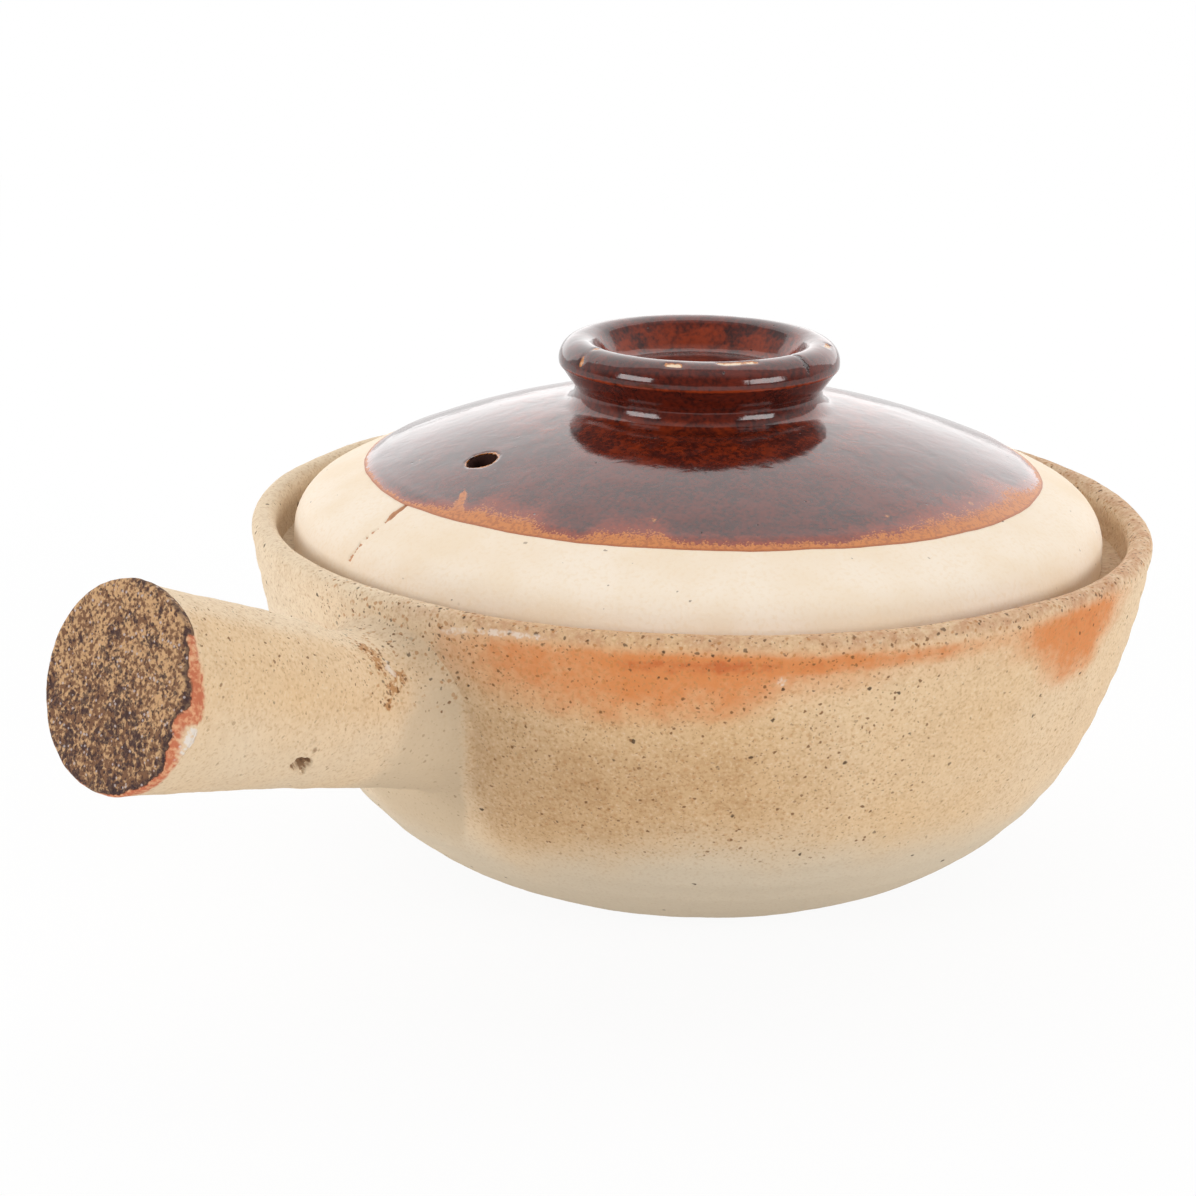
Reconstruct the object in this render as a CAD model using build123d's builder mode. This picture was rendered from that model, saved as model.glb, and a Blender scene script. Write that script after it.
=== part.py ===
from build123d import *
import math
import os

# Chinese sand pot: a thrown stoneware bowl with one stub handle, and a glazed lid that lies on a ledge
# inside the lip. Lengths are in millimetres and angles in degrees. The origin is the middle of the flat
# base, +Z is up, and the handle points to -X.

# Bowl
base_radius = 45.0              # of the flat face that the pot stands on
base_slope = 16.5               # how steeply the wall leaves the base
rim_radius = 90.0
rim_height = 70.7
wall_thickness = 6.0
floor_thickness = 7.0
belly_radius_share = 0.882      # of the rim radius, where the round belly meets the steeper wall
belly_height_share = 0.421      # of the rim height
shoulder_height_share = 0.948   # of the rim height, where the wall ends and the lip begins
lip_thickness = 5.4
lip_outer_rounding_share = 0.4  # of the lip's thickness
lip_inner_rounding_share = 0.5  # of the lip's thickness

# Ledge inside the lip, which carries the lid
ledge_depth = 9.2               # from the crest of the lip down to the ledge
ledge_width = 9.6
ledge_lip = 3.0                 # height of the ledge's inner face
ledge_root_share = 0.5          # how far up the steep wall the ledge's underside starts
ledge_rounding_share = 0.35     # of the height of its inner face

# Glaze on the crown, on the knob and inside the bowl
glaze_thickness = 0.5

# Lid
lid_play = 3.8                  # gap all round between the lid and the lip
lid_thickness = 5.6
lid_edge_height = 10.4          # from the ledge to the corner where crown and edge would meet
lid_edge_rounding = 9.5
crown_rise = 21.3               # from that corner to the top of the crown
seat_ring_width = 5.2
seat_ring_rounding_share = 0.23 # of the seat ring's width
bare_band_width = 12.8          # unglazed band around the crown
steam_hole_diameter = 6.0
steam_hole_distance = 50.0      # from the middle of the lid
steam_hole_angle = 164.1        # about +Z, from +X

# Knob, a shallow cup on a foot
knob_radius = 27.4              # at the arris under its rolled lip
knob_height = 12.8              # from its foot to its crest
knob_undercut = 2.8             # how far the foot lies inside the arris
knob_roll_width = 3.8           # from the arris in to the crest
knob_roll_height = 4.5          # from the arris up to the crest
knob_lip_width = 2.2            # from the crest in to the mouth's edge
knob_lip_drop = 0.7             # from the crest down to the mouth's edge
knob_hollow_depth = 6.6         # from the crest down to the floor
knob_hollow_draft = 2.4         # how far the hollow narrows towards its floor
knob_floor_rounding = 2.4

# Handle, a closed hollow stub
handle_height = 47.7            # of its axis where it meets the wall
handle_tilt = 18.0
handle_length = 66.0            # along its axis, from the wall to the end face
handle_end_radius = 17.8
handle_waist_radius = 13.8
handle_waist_distance = 13.0    # from the wall
handle_middle_share = 0.5       # of the way from the waist to the end
handle_foot_flare = 5.2         # how far the foot spreads beyond the waist
handle_foot_depth = 3.2         # how far behind the wall's face the foot starts
handle_wall = 4.0
end_disc_thickness = 3.6
end_disc_rounding_share = 0.25  # of the disc's thickness
vent_diameter = 3.0
vent_distance = 33.5            # along the handle's axis, from the wall
vent_angle = 124.0              # about that axis, from its top towards -Y

cut_overrun = 5.0               # how far cutting tools run past what they cut

# Levels and radii that follow
seat_height = rim_height - ledge_depth
gallery_radius = rim_radius - lip_thickness
ledge_radius = gallery_radius - ledge_width
lid_edge_radius = gallery_radius - lid_play
seat_ring_radius = lid_edge_radius - seat_ring_width
glaze_edge_radius = lid_edge_radius - bare_band_width
crown_corner_height = seat_height + lid_edge_height
crown_height = crown_corner_height + crown_rise
knob_foot_radius = knob_radius - knob_undercut


def heading(angle):
    """The unit vector at an angle from a sketch's first axis."""
    return Vector(math.cos(math.radians(angle)), math.sin(math.radians(angle)))


def left_of(direction):
    """The unit vector at a quarter turn to the left of a direction in a sketch."""
    return Vector(-direction.Y, direction.X).normalized()


def arc_height(arc, radius):
    """The height at which an arc's upper half reaches a distance from the pot's middle."""
    reach = radius - arc.arc_center.X
    return arc.arc_center.Y + math.sqrt(arc.radius**2 - reach**2)


def arc_reach(arc, height):
    """The distance from the pot's middle at which a wall arc reaches a height."""
    rise = height - arc.arc_center.Y
    half = math.copysign(1, (arc @ 1).X - arc.arc_center.X)
    return arc.arc_center.X + half * math.sqrt(arc.radius**2 - rise**2)


def wall_arcs(depth):
    """The wall's profile at a depth below its outside: a belly arc and a steeper arc, tangent."""
    base = Vector(base_radius, 0)
    belly = Vector(rim_radius * belly_radius_share, rim_height * belly_height_share)
    shoulder = Vector(rim_radius, rim_height * shoulder_height_share)
    lower = TangentArc(base, belly, tangent=heading(base_slope), mode=Mode.PRIVATE)
    upper = TangentArc(belly, shoulder, tangent=lower % 1, mode=Mode.PRIVATE)
    base += left_of(lower % 0) * depth
    belly += left_of(lower % 1) * depth
    shoulder += left_of(upper % 1) * depth
    lower = TangentArc(base, belly, tangent=lower % 0, mode=Mode.PRIVATE)
    return lower, TangentArc(belly, shoulder, tangent=lower % 1, mode=Mode.PRIVATE)


def crown_arc(depth):
    """The crown's profile at a depth below its outside, from the middle to the edge's corner."""
    top = Vector(0, crown_height)
    corner = Vector(lid_edge_radius, crown_corner_height)
    outside = TangentArc(top, corner, tangent=(1, 0), mode=Mode.PRIVATE)
    corner -= left_of(outside % 1) * depth
    return TangentArc(top - Vector(0, depth), corner, tangent=(1, 0), mode=Mode.PRIVATE)


def cavity(depth, floor):
    """The face of the bowl's hollow below its ledge, for a depth below the wall's outside."""
    lower, upper = wall_arcs(depth)
    with BuildSketch() as hollow:
        with BuildLine():
            add([lower, upper])
            Polyline(upper @ 1, (0, (upper @ 1).Y), (0, (lower @ 0).Y), lower @ 0)
        make_face()
        Rectangle(rim_radius, seat_height, align=(Align.MIN, Align.MIN), mode=Mode.INTERSECT)
        Rectangle(rim_radius, floor, align=(Align.MIN, Align.MIN), mode=Mode.SUBTRACT)
    return hollow.sketch


def corner(outline, point):
    """The corner of a sketch that lies nearest to a point."""
    return outline.vertices().sort_by_distance(point)[0]


def handle_radius(distance):
    """The handle's outer radius beyond its waist, at a distance from the wall along its axis."""
    taper = (handle_end_radius - handle_waist_radius) / (handle_length - handle_waist_distance)
    return handle_waist_radius + taper * (distance - handle_waist_distance)


# Profiles of the bowl and of the lid, each as if it were solid
with BuildSketch(Plane.XZ) as bowl_outline:
    with BuildLine():
        lower, upper = wall_arcs(0)
        add([lower, upper])
        Polyline(upper @ 1, (rim_radius, rim_height), (0, rim_height), (0, 0), lower @ 0)
    make_face()

with BuildSketch(Plane.XZ) as lid_outline:
    with BuildLine():
        crown = crown_arc(0)
        add(crown)
        Polyline(crown @ 1, (lid_edge_radius, seat_height), (0, seat_height), crown @ 0)
    make_face()
    fillet(corner(lid_outline, crown @ 1), radius=lid_edge_rounding)
    seat_corner = corner(lid_outline, (lid_edge_radius, seat_height))
    fillet(seat_corner, radius=seat_ring_width * seat_ring_rounding_share)

knob_seat_height = arc_height(crown, knob_foot_radius)
knob_crest = Vector(knob_radius - knob_roll_width, knob_seat_height + knob_height)
knob_mouth = knob_crest - Vector(knob_lip_width, knob_lip_drop)
knob_floor = Vector(knob_mouth.X - knob_hollow_draft, knob_crest.Y - knob_hollow_depth)
with BuildSketch(Plane.XZ) as knob_outline:
    with BuildLine():
        arris = (knob_radius, knob_crest.Y - knob_roll_height)
        Polyline((0, knob_floor.Y), (0, knob_seat_height), (knob_foot_radius, knob_seat_height), arris)
        TangentArc(knob_crest, arris, tangent=(1, 0))
        TangentArc(knob_crest, knob_mouth, tangent=(-1, 0))
        Polyline(knob_mouth, knob_floor, (0, knob_floor.Y))
    make_face()
    fillet(corner(knob_outline, knob_floor), radius=knob_floor_rounding)

# Where the handle stands on the wall
wall_arc = wall_arcs(0)[1]
root = Vector(arc_reach(wall_arc, handle_height), handle_height)
inward = left_of(wall_arc % wall_arc.param_at_point(root))
handle_root = Vector(-root.X, 0, root.Y)
handle_direction = (-heading(handle_tilt).X, 0, heading(handle_tilt).Y)
handle_plane = Plane(handle_root, x_dir=Plane.XZ.z_dir, z_dir=handle_direction)
foot_plane = Plane(handle_root, x_dir=Plane.XZ.z_dir, z_dir=(inward.X, 0, -inward.Y))

with BuildPart() as bowl_blank:
    add(bowl_outline.sketch)
    revolve(axis=Axis.Z)

# Bowl: the wall with its floor, the lip and the ledge
bowl_hollow = cavity(wall_thickness, floor_thickness)
with BuildPart() as pot_bowl:
    with BuildSketch(Plane.XZ) as bowl_section:
        add(bowl_outline.sketch_local)
        add(bowl_hollow, mode=Mode.SUBTRACT)
        with BuildLine():
            Polyline(
                (ledge_radius, seat_height),
                (ledge_radius, seat_height - ledge_lip),
                wall_arcs(wall_thickness / 2)[1] @ ledge_root_share,
                (rim_radius - wall_thickness / 2, seat_height),
                close=True,
            )
        make_face()
        with Locations((0, seat_height)):
            Rectangle(gallery_radius, ledge_depth, align=(Align.MIN, Align.MIN), mode=Mode.SUBTRACT)
        for point, rounding in (
            ((rim_radius, rim_height), lip_thickness * lip_outer_rounding_share),
            ((gallery_radius, rim_height), lip_thickness * lip_inner_rounding_share),
            ((ledge_radius, seat_height), ledge_lip * ledge_rounding_share),
            ((ledge_radius, seat_height - ledge_lip), ledge_lip * ledge_rounding_share),
        ):
            fillet(corner(bowl_section, point), radius=rounding)
    revolve(axis=Axis.Z)
pot_bowl.part.label = "pot_bowl"

# Brown glaze inside the bowl, from the floor up to the underside of the ledge
lining_hollow = cavity(wall_thickness + glaze_thickness, floor_thickness + glaze_thickness)
lining_height = (wall_arcs(wall_thickness)[1] @ ledge_root_share).Y - glaze_thickness
with BuildPart() as pot_lining:
    with BuildSketch(Plane.XZ):
        add(bowl_hollow)
        add(lining_hollow, mode=Mode.SUBTRACT)
        Rectangle(rim_radius, lining_height, align=(Align.MIN, Align.MIN), mode=Mode.INTERSECT)
    revolve(axis=Axis.Z)
pot_lining.part.label = "pot_lining"

# Handle: one smooth skin from the foot to the end disc, hollow, with its vent
disc_distance = handle_length - end_disc_thickness
middle_distance = handle_waist_distance + handle_middle_share * (disc_distance - handle_waist_distance)
with BuildPart() as pot_handle:
    with BuildSketch(foot_plane.offset(-handle_foot_depth)):
        Circle(handle_waist_radius + handle_foot_flare)
    for distance in (handle_waist_distance, middle_distance, disc_distance):
        with BuildSketch(handle_plane.offset(distance)):
            Circle(handle_radius(distance))
    loft()
    add(bowl_blank.part, mode=Mode.SUBTRACT)
    with BuildSketch(handle_plane.offset(-handle_foot_depth)):
        Circle(handle_radius(-handle_foot_depth) - handle_wall)
    with BuildSketch(handle_plane.offset(disc_distance)):
        Circle(handle_radius(disc_distance) - handle_wall)
    loft(mode=Mode.SUBTRACT)
    vent_direction = handle_plane.x_dir * heading(vent_angle).Y + handle_plane.y_dir * heading(vent_angle).X
    with Locations(Plane(handle_plane.offset(vent_distance).origin, z_dir=vent_direction)):
        Cylinder(
            vent_diameter / 2,
            handle_end_radius + cut_overrun,
            align=(Align.CENTER, Align.CENTER, Align.MIN),
            mode=Mode.SUBTRACT,
        )
pot_handle.part.label = "pot_handle"

# Disc that closes the end of the handle
with BuildPart() as handle_end_disc:
    for distance in (disc_distance, handle_length):
        with BuildSketch(handle_plane.offset(distance)):
            Circle(handle_radius(distance))
    loft()
    rim = handle_end_disc.edges().sort_by(SortBy.LENGTH)[-1]
    fillet(rim, radius=end_disc_thickness * end_disc_rounding_share)
handle_end_disc.part.label = "handle_end_disc"

# Lid: a domed shell with a seat ring, flat under the knob
hole_height = arc_height(crown, steam_hole_distance)
hole_point = Vector(steam_hole_distance, 0, hole_height).rotate(Axis.Z, steam_hole_angle)
hole_plane = Plane(hole_point, z_dir=hole_point - Vector(0, 0, crown.arc_center.Y))
with BuildPart() as steam_hole_cutter:
    with BuildSketch(hole_plane.offset(-lid_thickness - cut_overrun)):
        Circle(steam_hole_diameter / 2)
    extrude(amount=lid_thickness + 2 * cut_overrun)

with BuildSketch() as lid_hollow:
    with BuildLine():
        under_crown = crown_arc(lid_thickness)
        add(under_crown)
        edge_foot = ((under_crown @ 1).X, seat_height)
        Polyline(under_crown @ 1, edge_foot, (0, seat_height), under_crown @ 0)
    make_face()
    with Locations((0, seat_height)):
        Rectangle(
            seat_ring_radius,
            crown_height - seat_height,
            align=(Align.MIN, Align.MIN),
            mode=Mode.INTERSECT,
        )

with BuildPart() as lid_dome:
    with BuildSketch(Plane.XZ):
        add(lid_outline.sketch_local)
        add(lid_hollow.sketch, mode=Mode.SUBTRACT)
        with Locations((0, knob_seat_height)):
            Rectangle(lid_edge_radius, crown_rise, align=(Align.MIN, Align.MIN), mode=Mode.SUBTRACT)
    revolve(axis=Axis.Z)
    add(steam_hole_cutter.part, mode=Mode.SUBTRACT)
lid_dome.part.label = "lid_dome"

# Knob, luted to the flat of the lid
with BuildPart() as lid_knob:
    add(knob_outline.sketch)
    revolve(axis=Axis.Z)
lid_knob.part.label = "lid_knob"

# Dark glaze: one coat over the crown and the knob, which ends above the bare band
with BuildPart() as lid_glaze:
    with BuildSketch(Plane.XZ):
        add(lid_outline.sketch_local)
        add(knob_outline.sketch_local)
        offset(amount=glaze_thickness, kind=Kind.INTERSECTION)
        add(lid_outline.sketch_local, mode=Mode.SUBTRACT)
        add(knob_outline.sketch_local, mode=Mode.SUBTRACT)
        with Locations((0, seat_height)):
            Rectangle(
                glaze_edge_radius,
                knob_crest.Y,
                align=(Align.MIN, Align.MIN),
                mode=Mode.INTERSECT,
            )
    revolve(axis=Axis.Z)
    add(steam_hole_cutter.part, mode=Mode.SUBTRACT)
lid_glaze.part.label = "lid_glaze"

os.makedirs("parts", exist_ok=True)
for piece in (pot_bowl, pot_lining, pot_handle, handle_end_disc, lid_dome, lid_knob, lid_glaze):
    export_step(piece.part, f"parts/{piece.part.label}.step")
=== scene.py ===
"""The looks of a stoneware sand pot: a sandy bowl with one stub handle, and a lid with a glazed crown.

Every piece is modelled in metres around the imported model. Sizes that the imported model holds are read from
it, and the others are named here. Angles are in degrees: on the pot about +Z from +X, and on the handle
about its axis, from its top towards -Y. A section is drawn in a half plane, as distances from an axis and
heights along it.
"""

import logging
import math
from collections.abc import Callable, Iterable
from dataclasses import dataclass
from enum import Enum
from functools import cached_property

import bmesh
import bpy
from mathutils import Matrix, Vector, noise
from mathutils.bvhtree import BVHTree


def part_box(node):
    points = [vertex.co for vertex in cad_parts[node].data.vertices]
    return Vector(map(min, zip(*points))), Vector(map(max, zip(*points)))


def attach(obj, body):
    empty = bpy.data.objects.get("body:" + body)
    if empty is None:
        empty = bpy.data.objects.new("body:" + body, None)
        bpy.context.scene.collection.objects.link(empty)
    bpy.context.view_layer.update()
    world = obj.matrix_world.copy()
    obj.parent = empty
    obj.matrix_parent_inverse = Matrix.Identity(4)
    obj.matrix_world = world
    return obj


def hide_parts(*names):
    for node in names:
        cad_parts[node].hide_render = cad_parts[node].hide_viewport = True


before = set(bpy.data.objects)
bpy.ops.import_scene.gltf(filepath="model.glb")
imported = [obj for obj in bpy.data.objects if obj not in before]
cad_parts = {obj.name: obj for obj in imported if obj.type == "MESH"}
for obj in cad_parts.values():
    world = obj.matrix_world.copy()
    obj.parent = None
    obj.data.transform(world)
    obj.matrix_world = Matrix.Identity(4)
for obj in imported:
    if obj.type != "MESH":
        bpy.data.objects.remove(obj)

LOG = logging.getLogger("sand_pot")
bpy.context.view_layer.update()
MM = 0.001
QUARTER = 90.0
HALF = 180.0
FULL = 360.0
SHARP = math.radians(50)

Colour = tuple[float, float, float]
Shape = Callable[[Vector], float]


def srgb(red: int, green: int, blue: int) -> Colour:
    """Gives the linear colour of three display values from 0 to 255."""
    return tuple(((level / 255 + 0.055) / 1.055) ** 2.4 for level in (red, green, blue))


def ease(low: float, high: float, value: float) -> float:
    """Rises smoothly from 0 at low to 1 at high.

    Args:
        low: The value at which it leaves 0.
        high: The value at which it reaches 1. It may be the smaller of the two.
        value: The value to place between them.

    Returns:
        A share from 0 to 1.
    """
    share = min(max((value - low) / (high - low), 0.0), 1.0)
    return share * share * (3 - 2 * share)


def lumps(point: Vector, size: float, octaves: int = 3) -> float:
    """Gives smooth noise from about -1 to 1.

    Args:
        point: The place on the surface.
        size: How far across one lump is.
        octaves: How many finer layers the noise has.

    Returns:
        The height of the noise there.
    """
    return noise.fractal(point / size, 1.0, 2.0, octaves, noise_basis="PERLIN_ORIGINAL")


def azimuth(point: Vector) -> float:
    """Gives a point's angle about the pot's axis, from 0 to 360."""
    return math.degrees(math.atan2(point.y, point.x)) % FULL


def on_pot(angle: float, distance: float, height: float) -> Vector:
    """Gives the point at an angle about the pot's axis, a distance from it and a height."""
    turn = math.radians(angle)
    return Vector((distance * math.cos(turn), distance * math.sin(turn), height))


def spot(point: Vector, middle: Vector, size: float) -> float:
    """Is 1 at a place and falls to 0 at a distance of one size from it."""
    return ease(size, 0, (point - middle).length)


def between(points: Iterable[tuple[float, float]], place: float) -> float:
    """Reads a smooth line through a few points.

    Args:
        points: Places along the line, in rising order, each with its value.
        place: The place to read.

    Returns:
        The value there, held level past both ends.
    """
    points = list(points)
    if place <= points[0][0]:
        return points[0][1]
    for (start, first), (end, second) in zip(points, points[1:]):
        if place <= end:
            return first + (second - first) * ease(start, end, place)
    return points[-1][1]


@dataclass(frozen=True)
class Arc:
    """A circular arc in a section, known by its start, its first heading in degrees and its end."""

    start: Vector
    heading: float
    end: Vector

    @cached_property
    def turn(self) -> float:
        """The angle that it turns to the left."""
        chord = self.end - self.start
        off = math.degrees(math.atan2(chord.y, chord.x)) - self.heading
        return 2 * ((off + HALF) % FULL - HALF)

    @property
    def last_heading(self) -> float:
        """The direction at its end."""
        return self.heading + self.turn

    @cached_property
    def radius(self) -> float:
        """Its radius, which is negative where it turns to the right."""
        return (self.end - self.start).length / (2 * math.sin(math.radians(self.turn / 2)))

    @cached_property
    def centre(self) -> Vector:
        """The point that it turns about."""
        return self.start + self.beside(self.heading) * self.radius

    @staticmethod
    def beside(heading: float) -> Vector:
        """The unit vector at a quarter turn to the left of a heading."""
        return Vector((-math.sin(math.radians(heading)), math.cos(math.radians(heading))))

    def inside(self, depth: float) -> "Arc":
        """The arc that runs beside it, at a depth to its left."""
        end = self.end + self.beside(self.last_heading) * depth
        return Arc(self.start + self.beside(self.heading) * depth, self.heading, end)

    def back(self) -> "Arc":
        """The same arc from its end to its start."""
        return Arc(self.end, self.last_heading + HALF, self.start)

    def heading_at(self, point: Vector) -> float:
        """The direction in which the arc passes one of its points."""
        spoke = (point - self.centre) * math.copysign(1, self.radius)
        return math.degrees(math.atan2(spoke.y, spoke.x)) + QUARTER

    def at_height(self, height: float) -> Vector:
        """The point of its outer half at a height."""
        rise = height - self.centre.y
        return Vector((self.centre.x + math.sqrt(self.radius**2 - rise**2), height))

    def at_distance(self, distance: float) -> Vector:
        """The point of its upper half at a distance from the axis."""
        reach = distance - self.centre.x
        return Vector((distance, self.centre.y + math.sqrt(self.radius**2 - reach**2)))


class Section:
    """A half section, drawn from point to point beside the Z axis and then spun into a closed skin."""

    def __init__(self, start: Vector, pitch: float) -> None:
        """Puts the pen down.

        Args:
            start: The first point.
            pitch: The longest step along the line.
        """
        self.mesh = bmesh.new()
        self.pitch = pitch
        self.heading = 0.0
        self.tip = self.mesh.verts.new((start.x, 0, start.y))

    @property
    def place(self) -> Vector:
        """Where the pen is."""
        return Vector((self.tip.co.x, self.tip.co.z))

    def steps(self, length: float) -> int:
        """Says how many steps a length is drawn in."""
        return max(1, math.ceil(length / self.pitch))

    def line(self, end: Vector) -> "Section":
        """Draws a straight line to a point."""
        run = end - self.place
        steps = self.steps(run.length)
        for _ in range(steps):
            self.tip = bmesh.ops.extrude_vert_indiv(self.mesh, verts=[self.tip])["verts"][0]
            self.tip.co += Vector((run.x, 0, run.y)) / steps
        self.heading = math.degrees(math.atan2(run.y, run.x))
        return self

    def swing(self, centre: Vector, turn: float) -> "Section":
        """Draws an arc about a centre.

        Args:
            centre: The point that the pen turns about.
            turn: The angle, to the left where it is positive.

        Returns:
            The section itself, so that strokes can follow each other.
        """
        made = bmesh.ops.spin(
            self.mesh, geom=[self.tip], cent=(centre.x, 0, centre.y), axis=(0, -1, 0),
            angle=math.radians(turn), use_duplicate=False,
            steps=self.steps(abs(math.radians(turn)) * (self.place - centre).length),
        )
        self.tip = next(part for part in made["geom_last"] if isinstance(part, bmesh.types.BMVert))
        self.heading += turn
        return self

    def arc(self, arc: Arc) -> "Section":
        """Draws an arc from the pen's place, where it starts."""
        self.heading = arc.heading
        return self.swing(arc.centre, arc.turn)

    def bend(self, radius: float, turn: float) -> "Section":
        """Rounds a corner, tangent to the last stroke.

        Args:
            radius: The rounding's radius.
            turn: The angle, to the left where it is positive.

        Returns:
            The section itself.
        """
        side = math.copysign(radius, turn)
        return self.swing(self.place + Arc.beside(self.heading) * side, turn)

    def spun(self, steps: int) -> bmesh.types.BMesh:
        """Spins the section all the way round.

        Args:
            steps: How many steps the turn has.

        Returns:
            A closed mesh whose faces point outwards.
        """
        mesh = self.mesh
        bmesh.ops.spin(
            mesh, geom=mesh.verts[:] + mesh.edges[:], cent=(0, 0, 0), axis=(0, 0, 1),
            angle=math.radians(FULL), steps=steps, use_merge=True, use_duplicate=False,
        )
        bmesh.ops.remove_doubles(mesh, verts=mesh.verts[:], dist=0.005 * MM)
        bmesh.ops.recalc_face_normals(mesh, faces=mesh.faces[:])
        return mesh


def push(mesh: bmesh.types.BMesh, amount: Shape) -> None:
    """Moves every point of a mesh along its normal.

    Args:
        mesh: The mesh to shape.
        amount: Gives how far a point moves outwards.
    """
    mesh.normal_update()
    moves = [(point, point.normal * amount(point.co)) for point in mesh.verts]
    for point, move in moves:
        point.co += move


def refine(mesh: bmesh.types.BMesh, near: Callable[[Vector], bool], cuts: int) -> None:
    """Divides the faces round a small detail, so that it has points to take its shape.

    Args:
        mesh: The mesh to divide.
        near: Says whether the middle of a face is near the detail.
        cuts: How many cuts each edge gets.
    """
    edges = {edge for face in mesh.faces if near(face.calc_center_median()) for edge in face.edges}
    bmesh.ops.subdivide_edges(mesh, edges=list(edges), cuts=cuts, use_grid_fill=True)


def mark(mesh: bmesh.types.BMesh, name: str, amount: Shape) -> None:
    """Stores a share at every point of a mesh, for its material to read.

    Args:
        mesh: The mesh to mark.
        name: The attribute's name.
        amount: Gives the share at a point.
    """
    layer = mesh.verts.layers.float.new(name)
    for point in mesh.verts:
        point[layer] = amount(point.co)


def mark_all(mesh: bmesh.types.BMesh, shares: dict[str, Shape]) -> None:
    """Stores several shares at every point of a mesh."""
    for name, share in shares.items():
        mark(mesh, name, share)


class Tree:
    """A tree of nodes, which starts empty."""

    def __init__(self, tree: bpy.types.NodeTree) -> None:
        """Empties the tree."""
        self.tree = tree
        tree.nodes.clear()

    def node(self, kind: str, settings: dict | None = None, sockets: dict | None = None) -> bpy.types.Node:
        """Makes any node.

        Args:
            kind: The node's type.
            settings: Its properties.
            sockets: Values or links for its inputs, by name or number.

        Returns:
            The node.
        """
        made = self.tree.nodes.new(kind)
        for name, value in (settings or {}).items():
            setattr(made, name, value)
        for name, value in (sockets or {}).items():
            if isinstance(value, Field):
                value = value.socket
            if isinstance(value, bpy.types.NodeSocket):
                self.tree.links.new(value, made.inputs[name])
            else:
                made.inputs[name].default_value = value
        return made

    def vector(self, operation: str, first: object, second: object = None,
               **sockets: object) -> bpy.types.NodeSocket:
        """Works out a vector.

        Args:
            operation: What the Vector Math node does.
            first: Its first vector.
            second: Its second vector, if it has one.
            sockets: Its other inputs.

        Returns:
            The socket with the result.
        """
        values = {0: first, **sockets} if second is None else {0: first, 1: second, **sockets}
        made = self.node("ShaderNodeVectorMath", {"operation": operation}, values)
        return made.outputs["Value" if operation in ("LENGTH", "DOT_PRODUCT") else "Vector"]


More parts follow.
